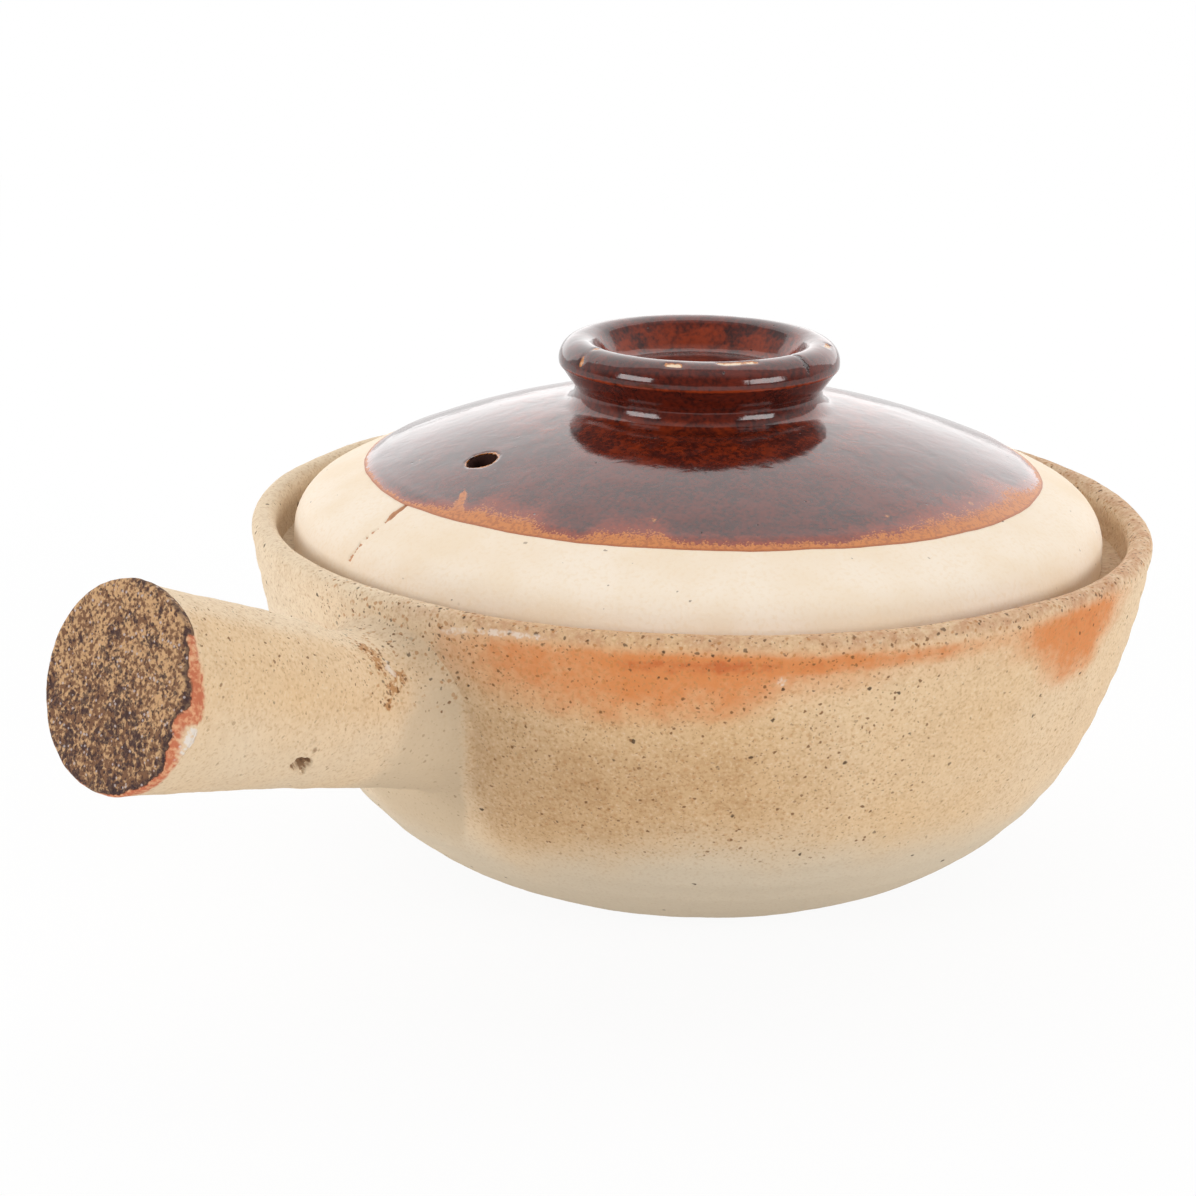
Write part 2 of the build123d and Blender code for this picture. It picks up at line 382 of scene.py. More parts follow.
class Graph(Tree):
    """The nodes of one material, with short ways to make the nodes that clay and glaze need."""

    def __init__(self, name: str) -> None:
        """Starts a material with the object's coordinates in millimetres."""
        self.material = bpy.data.materials.new(name)
        self.material.use_nodes = True
        super().__init__(self.material.node_tree)
        place = self.node("ShaderNodeTexCoord").outputs["Object"]
        self.place = self.vector("SCALE", place, Scale=1 / MM)
        shake = self.node("ShaderNodeTexNoise", {}, {"Vector": self.place, "Scale": 1.1, "Detail": 1.0})
        self.shaken = self.vector("ADD", self.place, self.vector("SCALE", shake.outputs["Color"], Scale=0.8))

    def noise(self, size: float, detail: float = 2.0, place: object = None, warp: float = 0.0) -> "Field":
        """Makes soft noise.

        Args:
            size: How many millimetres across one lump is.
            detail: How many finer layers it has.
            place: Where it is read, if not at the surface's own place.
            warp: How much it is distorted.

        Returns:
            Values from 0 to 1, about 0.5 in the middle.
        """
        sockets = {"Vector": place or self.place, "Scale": 1 / size, "Detail": detail, "Distortion": warp}
        return Field(self, self.node("ShaderNodeTexNoise", {}, sockets).outputs["Fac"])

    def grains(self, pitch: float, share: float, radius: float, place: object = None) -> "Field":
        """Scatters round grains through the body, of which the surface cuts some.

        Args:
            pitch: How many millimetres apart they lie.
            share: The share of places that hold one.
            radius: The radius of the largest, in millimetres.
            place: Where they are read, if not at the surface's own place.

        Returns:
            A mask that is 1 in an uneven grain and 0 outside.
        """
        cells = self.node("ShaderNodeTexVoronoi", {}, {"Vector": place or self.shaken, "Scale": 1 / pitch})
        chance = Field(self, self.node("ShaderNodeSeparateColor", {}, {0: cells.outputs["Color"]}).outputs[0])
        distance = Field(self, cells.outputs["Distance"]) * pitch
        return distance.ease(radius, radius * 0.55) * chance.ease(share, share * 0.8)

    def attribute(self, name: str) -> "Field":
        """Reads a share that a mesh stores."""
        made = self.node("ShaderNodeAttribute", {"attribute_name": name})
        return Field(self, made.outputs["Fac"])

    def axis(self, name: str) -> "Field":
        """Reads one coordinate of the place, in millimetres."""
        return Field(self, self.node("ShaderNodeSeparateXYZ", {}, {0: self.place}).outputs[name])

    def mix(self, first: object, second: object, share: "Field", blend: str = "MIX") -> bpy.types.NodeSocket:
        """Mixes two colours.

        Args:
            first: The colour where the share is 0.
            second: The colour where the share is 1.
            share: How much of the second there is.
            blend: How the node mixes.

        Returns:
            The socket with the mixed colour.
        """
        made = self.node("ShaderNodeMix", {"data_type": "RGBA", "blend_type": blend}, {"Factor": share})
        for name, colour in (("A", first), ("B", second)):
            socket = next(s for s in made.inputs if s.name == name and s.type == "RGBA")
            if isinstance(colour, bpy.types.NodeSocket):
                self.tree.links.new(colour, socket)
            else:
                socket.default_value = (*colour, 1)
        return next(s for s in made.outputs if s.type == "RGBA")

    def coat(self, colour: bpy.types.NodeSocket, roughness: object, height: "Field",
             uniform: dict[str, float]) -> bpy.types.Material:
        """Finishes the material as one opaque coat.

        Args:
            colour: The socket with its colour.
            roughness: How rough it is, a number or a field.
            height: The height of its fine relief, in millimetres.
            uniform: Other inputs of the shader, each the same all over.

        Returns:
            The finished material.
        """
        relief = self.node("ShaderNodeBump", {}, {"Height": height * MM, "Distance": 1.0, "Strength": 1.0})
        sockets = {"Base Color": colour, "Roughness": roughness, "Normal": relief.outputs["Normal"], **uniform}
        return self.finish(self.node("ShaderNodeBsdfPrincipled", {}, sockets))

    def finish(self, shader: bpy.types.Node) -> bpy.types.Material:
        """Shows a shader on the surface.

        Args:
            shader: The last shader node.

        Returns:
            The finished material.
        """
        self.node("ShaderNodeOutputMaterial", {}, {"Surface": shader.outputs[0]})
        return self.material


class Field:
    """A number that changes over a surface: one socket, on which Python's operators add Math nodes."""

    def __init__(self, graph: Tree, socket: bpy.types.NodeSocket) -> None:
        """Wraps a socket."""
        self.graph = graph
        self.socket = socket

    def math(self, operation: str, *values: object) -> "Field":
        """Adds a Math node.

        Args:
            operation: What the node does.
            values: Its inputs, each a number or a field.

        Returns:
            The result.
        """
        made = self.graph.node("ShaderNodeMath", {"operation": operation}, dict(enumerate(values)))
        return Field(self.graph, made.outputs[0])

    def __add__(self, other: object) -> "Field":
        """Adds."""
        return self.math("ADD", self, other)

    __radd__ = __add__

    def __sub__(self, other: object) -> "Field":
        """Subtracts."""
        return self.math("SUBTRACT", self, other)

    def __rsub__(self, other: object) -> "Field":
        """Subtracts from a number."""
        return self.math("SUBTRACT", other, self)

    def __mul__(self, other: object) -> "Field":
        """Multiplies."""
        return self.math("MULTIPLY", self, other)

    __rmul__ = __mul__

    def __truediv__(self, other: object) -> "Field":
        """Divides."""
        return self.math("DIVIDE", self, other)

    def most(self, other: object) -> "Field":
        """Gives the larger of two values."""
        return self.math("MAXIMUM", self, other)

    def ease(self, low: float, high: float) -> "Field":
        """Rises smoothly from 0 at low to 1 at high, which may be the smaller of the two."""
        sockets = {"Value": self, "From Min": low, "From Max": high}
        made = self.graph.node("ShaderNodeMapRange", {"interpolation_type": "SMOOTHSTEP"}, sockets)
        return Field(self.graph, made.outputs["Result"])


@dataclass(frozen=True)
class SandyClay:
    """Unglazed sandy stoneware, as the fire left it: the finish of the bowl and the handle."""

    pale: Colour = srgb(235, 217, 190)
    tan: Colour = srgb(226, 192, 148)
    sand: Colour = srgb(176, 134, 88)
    grey: Colour = srgb(212, 197, 174)
    slip: Colour = srgb(203, 182, 153)
    flash: Colour = srgb(211, 130, 72)
    ember: Colour = srgb(186, 92, 50)
    lip: Colour = srgb(192, 140, 106)
    white: Colour = srgb(236, 222, 208)
    ochre: Colour = srgb(176, 116, 58)
    brown: Colour = srgb(120, 82, 50)
    iron: Colour = srgb(62, 42, 28)

    def surface(self, graph: Graph) -> tuple[bpy.types.NodeSocket, Field]:
        """Works out the clay's colour and height.

        Args:
            graph: The material's nodes.

        Returns:
            The colour and the height in millimetres, from the shares flash, slip, grey, pale, shade, lip,
            chalk, rust, stain and speckle of the mesh.
        """
        fine = graph.noise(0.6, 1.0)
        grit = graph.noise(1.4, 3.0)
        mottle = graph.noise(5.5, 3.0, warp=0.6)
        clouds = graph.noise(22.0, 2.0)
        slip = graph.attribute("slip").ease(0.1, 0.9)
        crowd = graph.attribute("speckle")
        calm = 1 - (slip * 0.8).most(graph.attribute("grey") * 0.7)

        pale = (graph.attribute("pale") + (clouds - 0.5) * 0.5).ease(0.0, 1.0)
        colour = graph.mix(self.tan, self.pale, pale)
        mottles = (mottle * 0.3 + grit * 0.7).ease(0.44, 0.64)
        shade = graph.attribute("shade") * (0.28 + mottle * 0.4)
        colour = graph.mix(colour, self.sand, (shade + mottles * 0.14) * calm)
        grey = (graph.attribute("grey") + (clouds - 0.5) * 0.25).ease(0.05, 0.95)
        colour = graph.mix(colour, self.grey, grey)
        colour = graph.mix(colour, self.slip, slip * 0.85)
        ragged = (grit - 0.5) * 3 + (fine - 0.5) * 2 + 1
        flash = graph.attribute("flash") * (0.95 + (mottle - 0.5) * 0.7 + (grit - 0.5) * 0.6)
        colour = graph.mix(colour, self.flash, flash.ease(0.0, 0.95) * 0.92)
        colour = graph.mix(colour, self.ember, flash.ease(0.95, 1.5) * 0.7)
        lip = graph.attribute("lip") * (1 + (mottle - 0.5) * 1.6 + (grit - 0.5) * 1.6)
        colour = graph.mix(colour, self.lip, lip.ease(0.05, 0.9) * 0.9)
        rust = graph.attribute("rust") * ragged
        colour = graph.mix(colour, self.ochre, rust.ease(0.35, 0.9) * 0.7)
        chalk = graph.attribute("chalk") * ragged

        colour = graph.mix(colour, self.sand, fine.ease(0.52, 0.72) * calm * (shade * 0.6 + 0.3))
        colour = graph.mix(colour, self.pale, fine.ease(0.42, 0.28) * calm * (flash.ease(0.5, 0.1) * 0.25))
        dust = graph.grains(0.95, 0.85, 0.24) * crowd.ease(0.0, 0.8)
        ochre = graph.grains(1.5, 0.85, 0.45) * crowd.ease(0.3, 0.9)
        small = graph.grains(1.9, 0.6, 0.38) * crowd.ease(0.0, 0.55)
        rusty = graph.grains(1.0, 0.7, 0.4) * rust.ease(0.2, 0.6)
        dark = graph.grains(1.7, 0.55, 0.42) * crowd.ease(0.55, 1.0)
        large = graph.grains(4.6, 0.5, 0.5)
        colour = graph.mix(colour, self.ochre, ochre * 0.6)
        colour = graph.mix(colour, self.brown, (dust * 0.65).most(small * 0.85).most(rusty * 0.9))
        colour = graph.mix(colour, self.iron, (large * 0.85).most(dark * 0.8))
        colour = graph.mix(colour, self.white, chalk.ease(0.25, 0.85) * 0.75)
        # Brown for real scratches, smudges and specks, and painted shade: the inside of the handle's pit and a
        # dent's shadow on the bowl.
        stain_and_shade = graph.attribute("stain_and_shade") * (1 + (grit - 0.5) * 1.6)
        colour = graph.mix(colour, self.brown, stain_and_shade.ease(0.3, 0.8) * 0.8)

        return colour, (grit * 0.14 + fine * 0.09) * (calm * 0.7 + 0.3) + mottle * 0.15 - large * 0.06

    def material(self, name: str) -> bpy.types.Material:
        """Makes the material.

        Args:
            name: Its name.

        Returns:
            The material.
        """
        graph = Graph(name)
        colour, height = self.surface(graph)
        return graph.coat(colour, 0.92, height, {"Specular IOR Level": 0.25})


@dataclass(frozen=True)
class Crust:
    """The rough speckled face at the handle's end, with the clay of its side."""

    clay: SandyClay = SandyClay()
    ochre: Colour = srgb(208, 166, 122)
    umber: Colour = srgb(128, 92, 68)
    black: Colour = srgb(60, 44, 48)
    ash: Colour = srgb(196, 180, 176)
    flash: Colour = srgb(194, 112, 80)
    glow: Colour = srgb(218, 158, 118)
    white: Colour = srgb(226, 216, 206)

    def material(self, name: str) -> bpy.types.Material:
        """Makes the material.

        Args:
            name: Its name.

        Returns:
            A material that reads the clay's shares, and the shares crust and rim of the mesh.
        """
        graph = Graph(name)
        side, smooth = self.clay.surface(graph)
        fine = graph.noise(0.4, 1.0)
        grit = graph.noise(0.8, 3.0)
        mottle = graph.noise(3.6, 3.0, warp=0.5)
        beside = graph.vector("ADD", graph.place, (7, 3, 5))
        patches = graph.noise(0.85, 2.0, beside) * 0.6 + graph.noise(4.5, 2.0, beside) * 0.4
        edge = graph.attribute("crust") + (grit - 0.5) * 0.35
        crust = edge.ease(0.12, 0.26)
        rim = graph.attribute("rim") * (1 + (mottle - 0.5) * 1.2 + (grit - 0.5) * 1.6)

        band = graph.mix(self.glow, self.flash, (grit + mottle * 0.5).ease(0.58, 0.85))
        side = graph.mix(side, band, rim.ease(0.1, 0.8))
        chalk = graph.attribute("chalk") * (1 + (grit - 0.5) * 4.5)
        side = graph.mix(side, self.white, chalk.ease(0.3, 0.6) * 0.9)

        low = graph.axis("Z").ease(76, 58) * 0.05
        face = graph.mix(self.umber, self.ochre, (mottle * 0.25 + grit * 0.75 - low).ease(0.42, 0.56))
        face = graph.mix(face, self.black, (patches - low).ease(0.475, 0.39) * 0.8)
        border = edge.ease(0.75, 0.4) * graph.axis("Y").ease(6, -4)
        face = graph.mix(face, self.black, graph.grains(0.8, 0.8, 0.3).most(border) * 0.75)
        face = graph.mix(face, self.ash, graph.grains(0.95, 0.35, 0.3, beside) * 0.8)
        colour = graph.mix(side, face, crust)

        height = smooth * (1 - crust) + (grit * 0.45 + fine * 0.2 + mottle * 0.3) * crust
        return graph.coat(colour, 0.9, height, {"Specular IOR Level": 0.3})


@dataclass(frozen=True)
class GlazeEdge:
    """Where the crown's glaze ends and how wide its amber band is, in millimetres at angles."""

    ends: tuple[tuple[float, float], ...] = (
        (0, 67.2), (90, 67.0), (147, 66.5), (219, 65.9), (292, 68.3), (360, 67.2),
    )
    band: tuple[tuple[float, float], ...] = (
        (0, 1.5), (60, 2.4), (100, 1.5), (130, 0.6), (163, 0.6), (176, 2.0), (180, 3.4), (190, 3.2),
        (194, 1.5), (200, 0.9), (204, 2.4), (212, 2.8), (217, 1.3), (240, 1.2), (252, 2.2), (262, 3.3),
        (280, 3.2), (288, 4.2), (293, 1.7), (300, 1.0), (325, 2.2), (360, 1.5),
    )

    def radius(self, place: Vector) -> float:
        """Gives the distance from the axis at which the glaze ends, on the side of a place."""
        turn = on_pot(azimuth(place), 1.0, 0.0)
        return between(self.ends, azimuth(place)) + 0.35 * lumps(turn, 0.4) + 0.12 * lumps(turn, 0.08)

    def inside(self, place: Vector) -> float:
        """Gives how far a place lies inside the glaze."""
        return self.radius(place) - math.hypot(place.x, place.y) / MM

    def width(self, place: Vector) -> float:
        """Gives the width of the amber band, on the side of a place."""
        return between(self.band, azimuth(place))


@dataclass(frozen=True)
class LidClay:
    """Smooth cream stoneware, bare on the lid's band and underneath."""

    cream: Colour = srgb(245, 230, 211)
    warm: Colour = srgb(238, 216, 186)
    iron: Colour = srgb(90, 60, 40)
    crack: Colour = srgb(204, 152, 116)
    deep: Colour = srgb(146, 92, 62)
    hole_shade: Colour = srgb(62, 34, 26)

    def material(self, name: str) -> bpy.types.Material:
        """Makes the material.

        Args:
            name: Its name.

        Returns:
            A material that reads the shares crack and stain of the mesh.
        """
        graph = Graph(name)
        grit = graph.noise(0.8, 2.0)
        clouds = graph.noise(16.0, 2.0)
        colour = graph.mix(self.cream, self.warm, clouds.ease(0.35, 0.7) * 0.6)
        colour = graph.mix(colour, self.warm, grit.ease(0.45, 0.75) * 0.5)
        specks = graph.grains(7.0, 0.6, 0.5).most(graph.grains(3.2, 0.2, 0.3) * 0.7)
        colour = graph.mix(colour, self.iron, specks * 0.8)
        crack = graph.attribute("crack") + (graph.noise(1.0, 2.0) - 0.5) * 0.3
        colour = graph.mix(colour, self.crack, crack.ease(0.25, 0.5))
        colour = graph.mix(colour, self.deep, crack.ease(0.8, 1.1) * 0.5)
        # Painted shade: near-black brown on the wall of the steam hole.
        colour = graph.mix(colour, self.hole_shade, graph.attribute("stain_and_shade"))
        return graph.coat(colour, 0.8, grit * 0.05 + clouds * 0.1, {"Specular IOR Level": 0.3})


@dataclass(frozen=True)
class BrownGlaze:
    """Glossy iron glaze: dark where it is thick, red where it runs thin and amber along its edge."""

    dark: Colour = srgb(58, 22, 18)
    maroon: Colour = srgb(100, 34, 20)
    red: Colour = srgb(150, 56, 22)
    amber: Colour = srgb(202, 126, 62)
    rust: Colour = srgb(158, 82, 36)
    clay: Colour = srgb(238, 214, 184)
    black: Colour = srgb(22, 12, 12)
    ior: float = 1.5

    def material(self, name: str, bordered: bool = False) -> bpy.types.Material:
        """Makes the material.

        Args:
            name: Its name.
            bordered: Whether it ends in an amber band, for which it reads the mesh's lengths inside and band.

        Returns:
            A material that reads the shares thin, tongue, chip and seam of the mesh.
        """
        graph = Graph(name)
        fine = graph.noise(0.9, 2.0)
        mottle = graph.noise(4.0, 4.0, warp=1.0)
        clouds = graph.noise(14.0, 2.0, warp=0.5)
        uneven = 1 + (mottle - 0.5) * 2.0 + (clouds - 0.5) * 1.0 + (fine - 0.5) * 1.0
        thin = graph.attribute("thin") * uneven
        clotted = (mottle * 0.25 + clouds * 0.3 + fine * 0.45).ease(0.38, 0.62)
        colour = graph.mix(self.dark, self.maroon, clotted)
        colour = graph.mix(colour, self.red, thin.ease(0.25, 0.95) * 0.9)
        roughness = 0.1 + (mottle - 0.5).most(0) * 0.1
        if bordered:
            inside = graph.attribute("inside")
            sparks = graph.noise(0.45, 1.0)
            grain = graph.noise(0.7, 2.0)
            width = graph.attribute("band") * (0.5 + graph.noise(3.5, 2.0))
            share = (inside + (graph.noise(1.5, 3.0) - 0.5) * 1.4) / width
            tongue = (graph.attribute("tongue") + (sparks - 0.5) * 0.8).ease(0.25, 0.6)
            fringe = (share + (grain - 0.5) * 3.0).ease(3.4, 0.9).most(tongue)
            colour = graph.mix(colour, self.red, fringe * 0.75)
            amber = (share + (sparks - 0.5) * 2.4).ease(1.3, 0.75).most(tongue * 0.85)
            grained = graph.mix(self.amber, self.rust, grain.ease(0.45, 0.62) * 0.65)
            colour = graph.mix(colour, grained, amber * 0.95)
            colour = graph.mix(colour, self.rust, inside.ease(0.5, 0.15) * 0.7)
            roughness = roughness + amber * 0.35
            flecks = graph.grains(4.2, 0.22, 0.7) * inside.ease(15, 5)
            colour = graph.mix(colour, self.amber, flecks * (sparks.ease(0.35, 0.6) * 0.8))
        chip = graph.attribute("chip") * (1 + (fine - 0.5) * 2.0)
        colour = graph.mix(colour, self.amber, chip.ease(0.25, 0.5) * 0.85)
        colour = graph.mix(colour, self.clay, chip.ease(0.6, 0.9))
        seam = (graph.attribute("seam") + (fine - 0.5) * 0.5).ease(0.4, 0.75)
        colour = graph.mix(colour, self.black, seam * 0.8)
        pinholes = graph.grains(3.0, 0.35, 0.28)
        colour = graph.mix(colour, self.black, pinholes * 0.8)
        roughness = roughness + chip.ease(0.4, 0.7) * 0.4
        height = (mottle * 0.05 + clouds * 0.12) - pinholes * 0.08 - seam * 0.15
        return graph.coat(colour, roughness, height, {"IOR": self.ior})


class Body(Enum):
    """The bodies that pieces ride on."""

    POT = "pot"
    LID = "lid"


class Slot(Enum):
    """Names for the four finishes; no piece in this script uses them."""

    POT_CLAY = "pot_clay"
    ROUGH_CLAY = "rough_clay"
    LID_CLAY = "lid_clay"
    BROWN_GLAZE = "brown_glaze"


def add_piece(
    name: str, mesh: bmesh.types.BMesh, material: bpy.types.Material, body: Body, node: str
) -> bpy.types.Object:
    """Makes an object of a finished mesh and puts it in the frame.

    Args:
        name: The piece's name.
        mesh: Its mesh, which is used up.
        material: Its finish.
        body: The body that it rides on.
        node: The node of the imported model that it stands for.

    Returns:
        The object.
    """
    data = bpy.data.meshes.new(name)
    for face in mesh.faces:
        face.smooth = True
    for edge in mesh.edges:
        edge.smooth = edge.calc_face_angle(0.0) < SHARP
    mesh.to_mesh(data)
    mesh.free()
    data.materials.append(material)
    piece = bpy.data.objects.new(name, data)
    bpy.context.scene.collection.objects.link(piece)
    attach(piece, body.value)
    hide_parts(node)
    LOG.info("%s: %d faces on %s", name, len(data.polygons), body.value)
    return piece


@dataclass
class Bowl:
    """The thrown bowl, with its lip, the ledge that carries the lid, and the glaze inside."""

    rim_radius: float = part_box("pot_bowl")[1].x
    rim_height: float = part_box("pot_bowl")[1].z
    seat_height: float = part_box("lid_dome")[0].z
    base_radius: float = 45.0 * MM
    base_slope: float = 16.5
    belly_radius_share: float = 0.882
    belly_height_share: float = 0.421
    shoulder_height_share: float = 0.948
    wall: float = 6.0 * MM
    floor: float = 7.0 * MM
    lip: float = 5.4 * MM
    lip_outer_rounding: float = 2.2 * MM
    lip_inner_rounding: float = 2.6 * MM
    ledge_width: float = 9.6 * MM
    ledge_lip: float = 3.0 * MM
    ledge_rounding: float = 1.0 * MM
    lining: float = 0.5 * MM
    dip: float = 0.8 * MM
    dip_angle: float = 312.0
    dip_spread: float = 60.0
    outside_pitch: float = 1.2 * MM
    inside_pitch: float = 2.4 * MM
    round_steps: int = 320

    @cached_property
    def wall_arcs(self) -> tuple[Arc, Arc]:
        """The outside of the wall: the belly's arc and the steeper arc above it."""
        base = Vector((self.base_radius, 0))
        belly = Vector((self.rim_radius * self.belly_radius_share, self.rim_height * self.belly_height_share))
        shoulder = Vector((self.rim_radius, self.rim_height * self.shoulder_height_share))
        lower = Arc(base, self.base_slope, belly)
        return lower, Arc(belly, lower.last_heading, shoulder)

    def inner_wall(self, section: Section, depth: float, floor: float) -> None:
        """Draws the inside of the wall downwards, and the floor in to the axis.

        Args:
            section: The section, whose pen is on the inside of the steep wall.
            depth: How far the inside lies under the outside of the wall.
            floor: The height of the floor.
        """
        lower, upper = (arc.inside(depth) for arc in self.wall_arcs)
        heading = upper.heading_at(section.place)
        section.heading = heading + HALF
        section.swing(upper.centre, upper.heading - heading)
        foot = lower.at_height(floor)
        section.swing(lower.centre, lower.heading_at(foot) - lower.last_heading)
        section.line(Vector((0, floor)))

    def ledge_root(self, depth: float) -> Vector:
        """Gives the point where the ledge's underside meets the inside of the wall."""
        upper = self.wall_arcs[1].inside(depth)
        return upper.at_height((upper.start.y + upper.end.y) / 2 - self.ledge_lip)

    def skin(self) -> bmesh.types.BMesh:
        """Spins the bowl's section."""
        lower, upper = self.wall_arcs
        gallery = self.rim_radius - self.lip
        ledge = gallery - self.ledge_width
        section = Section(Vector((0, 0)), self.inside_pitch)
        section.line(Vector((self.base_radius, 0)))
        section.pitch = self.outside_pitch
        section.arc(lower).arc(upper)
        section.pitch = self.outside_pitch / 2
        section.line(Vector((self.rim_radius, self.rim_height - self.lip_outer_rounding)))
        section.bend(self.lip_outer_rounding, QUARTER)
        section.line(Vector((gallery + self.lip_inner_rounding, self.rim_height)))
        section.bend(self.lip_inner_rounding, QUARTER)
        section.pitch = self.outside_pitch
        section.line(Vector((gallery, self.seat_height)))
        section.line(Vector((ledge + self.ledge_rounding, self.seat_height)))
        section.bend(self.ledge_rounding, QUARTER)
        section.line(Vector((ledge, self.seat_height - self.ledge_lip)))
        section.pitch = self.inside_pitch
        section.line(self.ledge_root(self.wall))
        self.inner_wall(section, self.wall, self.floor)
        return section.spun(self.round_steps)

    def lining_skin(self) -> bmesh.types.BMesh:
        """Spins the coat of glaze inside the bowl."""
        section = Section(self.ledge_root(self.wall - self.lining / 2), self.inside_pitch)
        top = section.place
        self.inner_wall(section, self.wall - self.lining / 2, self.floor - self.lining / 2)
        other = self.ledge_root(self.wall + self.lining)
        lower, upper = (arc.inside(self.wall + self.lining) for arc in self.wall_arcs)
        floor = self.floor + self.lining
        foot = lower.at_height(floor)
        section.line(Vector((0, floor))).line(foot)
        section.swing(lower.centre, lower.last_heading - lower.heading_at(foot))
        section.swing(upper.centre, upper.heading_at(other) - upper.heading)
        section.line(top)
        return section.spun(self.round_steps // 2)

    def outside_at(self, height: float) -> float:
        """Gives the outer radius at a height below the lip."""
        lower, upper = self.wall_arcs
        arc = lower if height < lower.end.y else upper
        return arc.at_height(max(height, 0.0)).x

    def is_outside(self, point: Vector) -> bool:
        """Says whether a point lies on the outside of the wall or on the lip."""
        if point.z > self.seat_height:
            return True
        return math.hypot(point.x, point.y) > self.outside_at(point.z) - self.wall / 2

    def flash(self, point: Vector) -> float:
        """Gives the share of the orange flash that the fire left under the lip."""
        angle, height = azimuth(point), point.z / MM
        fade = (
            (183, 66), (190.5, 57), (196, 53.5), (208, 53), (220, 54.5), (226, 57.5), (231, 59.5), (236, 61),
            (242, 62.6), (256, 63.4), (260, 61.5), (264, 56.5), (269, 52.5), (273, 54), (280, 60), (287, 66),
        )
        strength = (
            (184, 0), (191, 0.45), (200, 0.75), (222, 0.95), (236, 0.65), (246, 0.5), (257, 0.55),
            (266, 1.05), (273, 1.05), (283, 0.35), (296, 0.1),
        )
        low = between(fade, angle) + 2.2 * lumps(point, 11 * MM)
        band = ease(low - 3.5, low + 9, height) ** 0.6 * ease(70.5, 66, height)
        inside = ease(self.rim_radius - 4 * MM, self.rim_radius - 2 * MM, math.hypot(point.x, point.y))
        ember = ease(2.2, 0.4, abs(height - 65.8 + 0.5 * lumps(point, 7 * MM)))
        ember *= ease(207, 216, angle) * ease(262, 246, angle)
        return band * inside * (between(strength, angle) + 0.5 * ember)

    def grey(self, point: Vector) -> float:
        """Gives the share of the greyer, smoother clay below the belly."""
        angle, height = azimuth(point), point.z / MM
        level = between(((180, 26), (193, 22), (206, 27), (220, 31), (250, 28), (273, 24), (300, 30)), angle)
        return ease(level + 9, level - 15, height + 2 * lumps(point, 14 * MM))

    def slip(self, point: Vector) -> float:
        """Gives the share of the smooth slip that was wiped round the handle's foot."""
        angle, height = azimuth(point), point.z / MM
        edge = between(((20, 184), (25, 186), (32, 188), (47, 191), (54, 191), (60, 188.5)), height)
        right = ease(edge + 1.1, edge - 1.1, angle + 0.5 * lumps(point, 6 * MM))
        return right * ease(160, 172, angle) * ease(66, 50, height) * ease(10, 30, height)

    def pale(self, point: Vector) -> float:
        """Gives the share of the paler, pinker clay, away from where the fire reached."""
        shares = ((150, 0.9), (183, 0.8), (196, 0.35), (215, 0.2), (245, 0.35), (275, 0.55), (300, 0.65))
        return between(shares, azimuth(point))

    def lip_tint(self, point: Vector) -> float:
        """Gives the share of the mauve brown on the lip and on the wall inside it."""
        angle, height = azimuth(point), point.z / MM
        distance = math.hypot(point.x, point.y)
        crest = ease(66.5, 69.5, height) * between(
            ((0, 0.4), (60, 0.2), (110, 0), (172, 0.02), (195, 0.4), (285, 0.5), (360, 0.4)), angle)
        gallery = ease(self.rim_radius - self.lip + 1.5 * MM, self.rim_radius - self.lip, distance)
        gallery *= ease(self.seat_height - 4 * MM, self.seat_height - 1 * MM, point.z)
        shades = ((0, 0.2), (110, 0), (180, 0.02), (215, 0.6), (255, 0.6), (300, 0.3), (360, 0.2))
        shade = between(shades, angle)
        return max(crest, gallery * shade * (1 + 0.5 * lumps(point, 14 * MM)))

    def speckle(self, point: Vector) -> float:
        """Gives the share of dark specks, which crowd on the lip and round the top of the handle."""
        angle, height = azimuth(point), point.z / MM
        crowding = ((100, 0.1), (162, 0.1), (178, 0.7), (200, 0.9), (330, 0.9))
        lip = ease(65, 68, height) * between(crowding, angle)
        front = ease(189, 195, angle) * ease(262, 240, angle) * ease(16, 32, height)
        left = ease(160, 174, angle) * ease(204, 192, angle) * ease(50, 60, height)
        return max(lip, front * 0.6, left * 0.9, 0.3 * ease(14, 28, height))

    def shade(self, point: Vector) -> float:
        """Gives the share of darker, mottled clay over the belly in front."""
        angle, height = azimuth(point), point.z / MM
        front = ease(187, 191.5, angle) * ease(250, 222, angle) * ease(14, 30, height) * ease(70, 42, height)
        return max(front * (0.95 + 0.15 * lumps(point, 25 * MM)), 0.25)

    def chalk(self, point: Vector) -> float:
        """Gives the share of whitish marks, among them a dry streak along the lip."""
        rim, angle = self.rim_radius, azimuth(point)
        marks = ((228.2, 62.6, 2.0, 0.75), (233.6, 33.9, 0.9, 1.0), (191.9, 48.3, 1.0, 0.9))
        line = between(((187, 65.2), (190, 67.3), (193, 68.3), (205, 68.9)), angle) * MM
        streak = ease(1.2 * MM, 0.2 * MM, abs(point.z - line)) * ease(186, 190, angle) * ease(206, 199, angle)
        streak *= 0.95 + 0.4 * lumps(point, 3 * MM)
        outer = ease(rim - 3 * MM, rim - 2 * MM, math.hypot(point.x, point.y))
        return max(streak * outer * 0.6, *(
            spot(point, on_pot(turn, self.outside_at(height * MM), height * MM), size * MM) * share
            for turn, height, size, share in marks
        ))

    def stain_and_shade(self, point: Vector) -> float:
        """Gives the share of a dark scratch on the right and of a dent's shadow in front."""
        angle, height = azimuth(point), point.z / MM
        off = abs(height - 52.8 + 0.5 * lumps(point, 2 * MM))
        scratch = ease(0.7, 0.1, off) * ease(2.6, 1.6, abs(angle - 247))
        dent = spot(point, on_pot(232.8, self.outside_at(33.9 * MM), 33.9 * MM), 0.9 * MM)
        return max(scratch * 0.55, dent * 0.7)

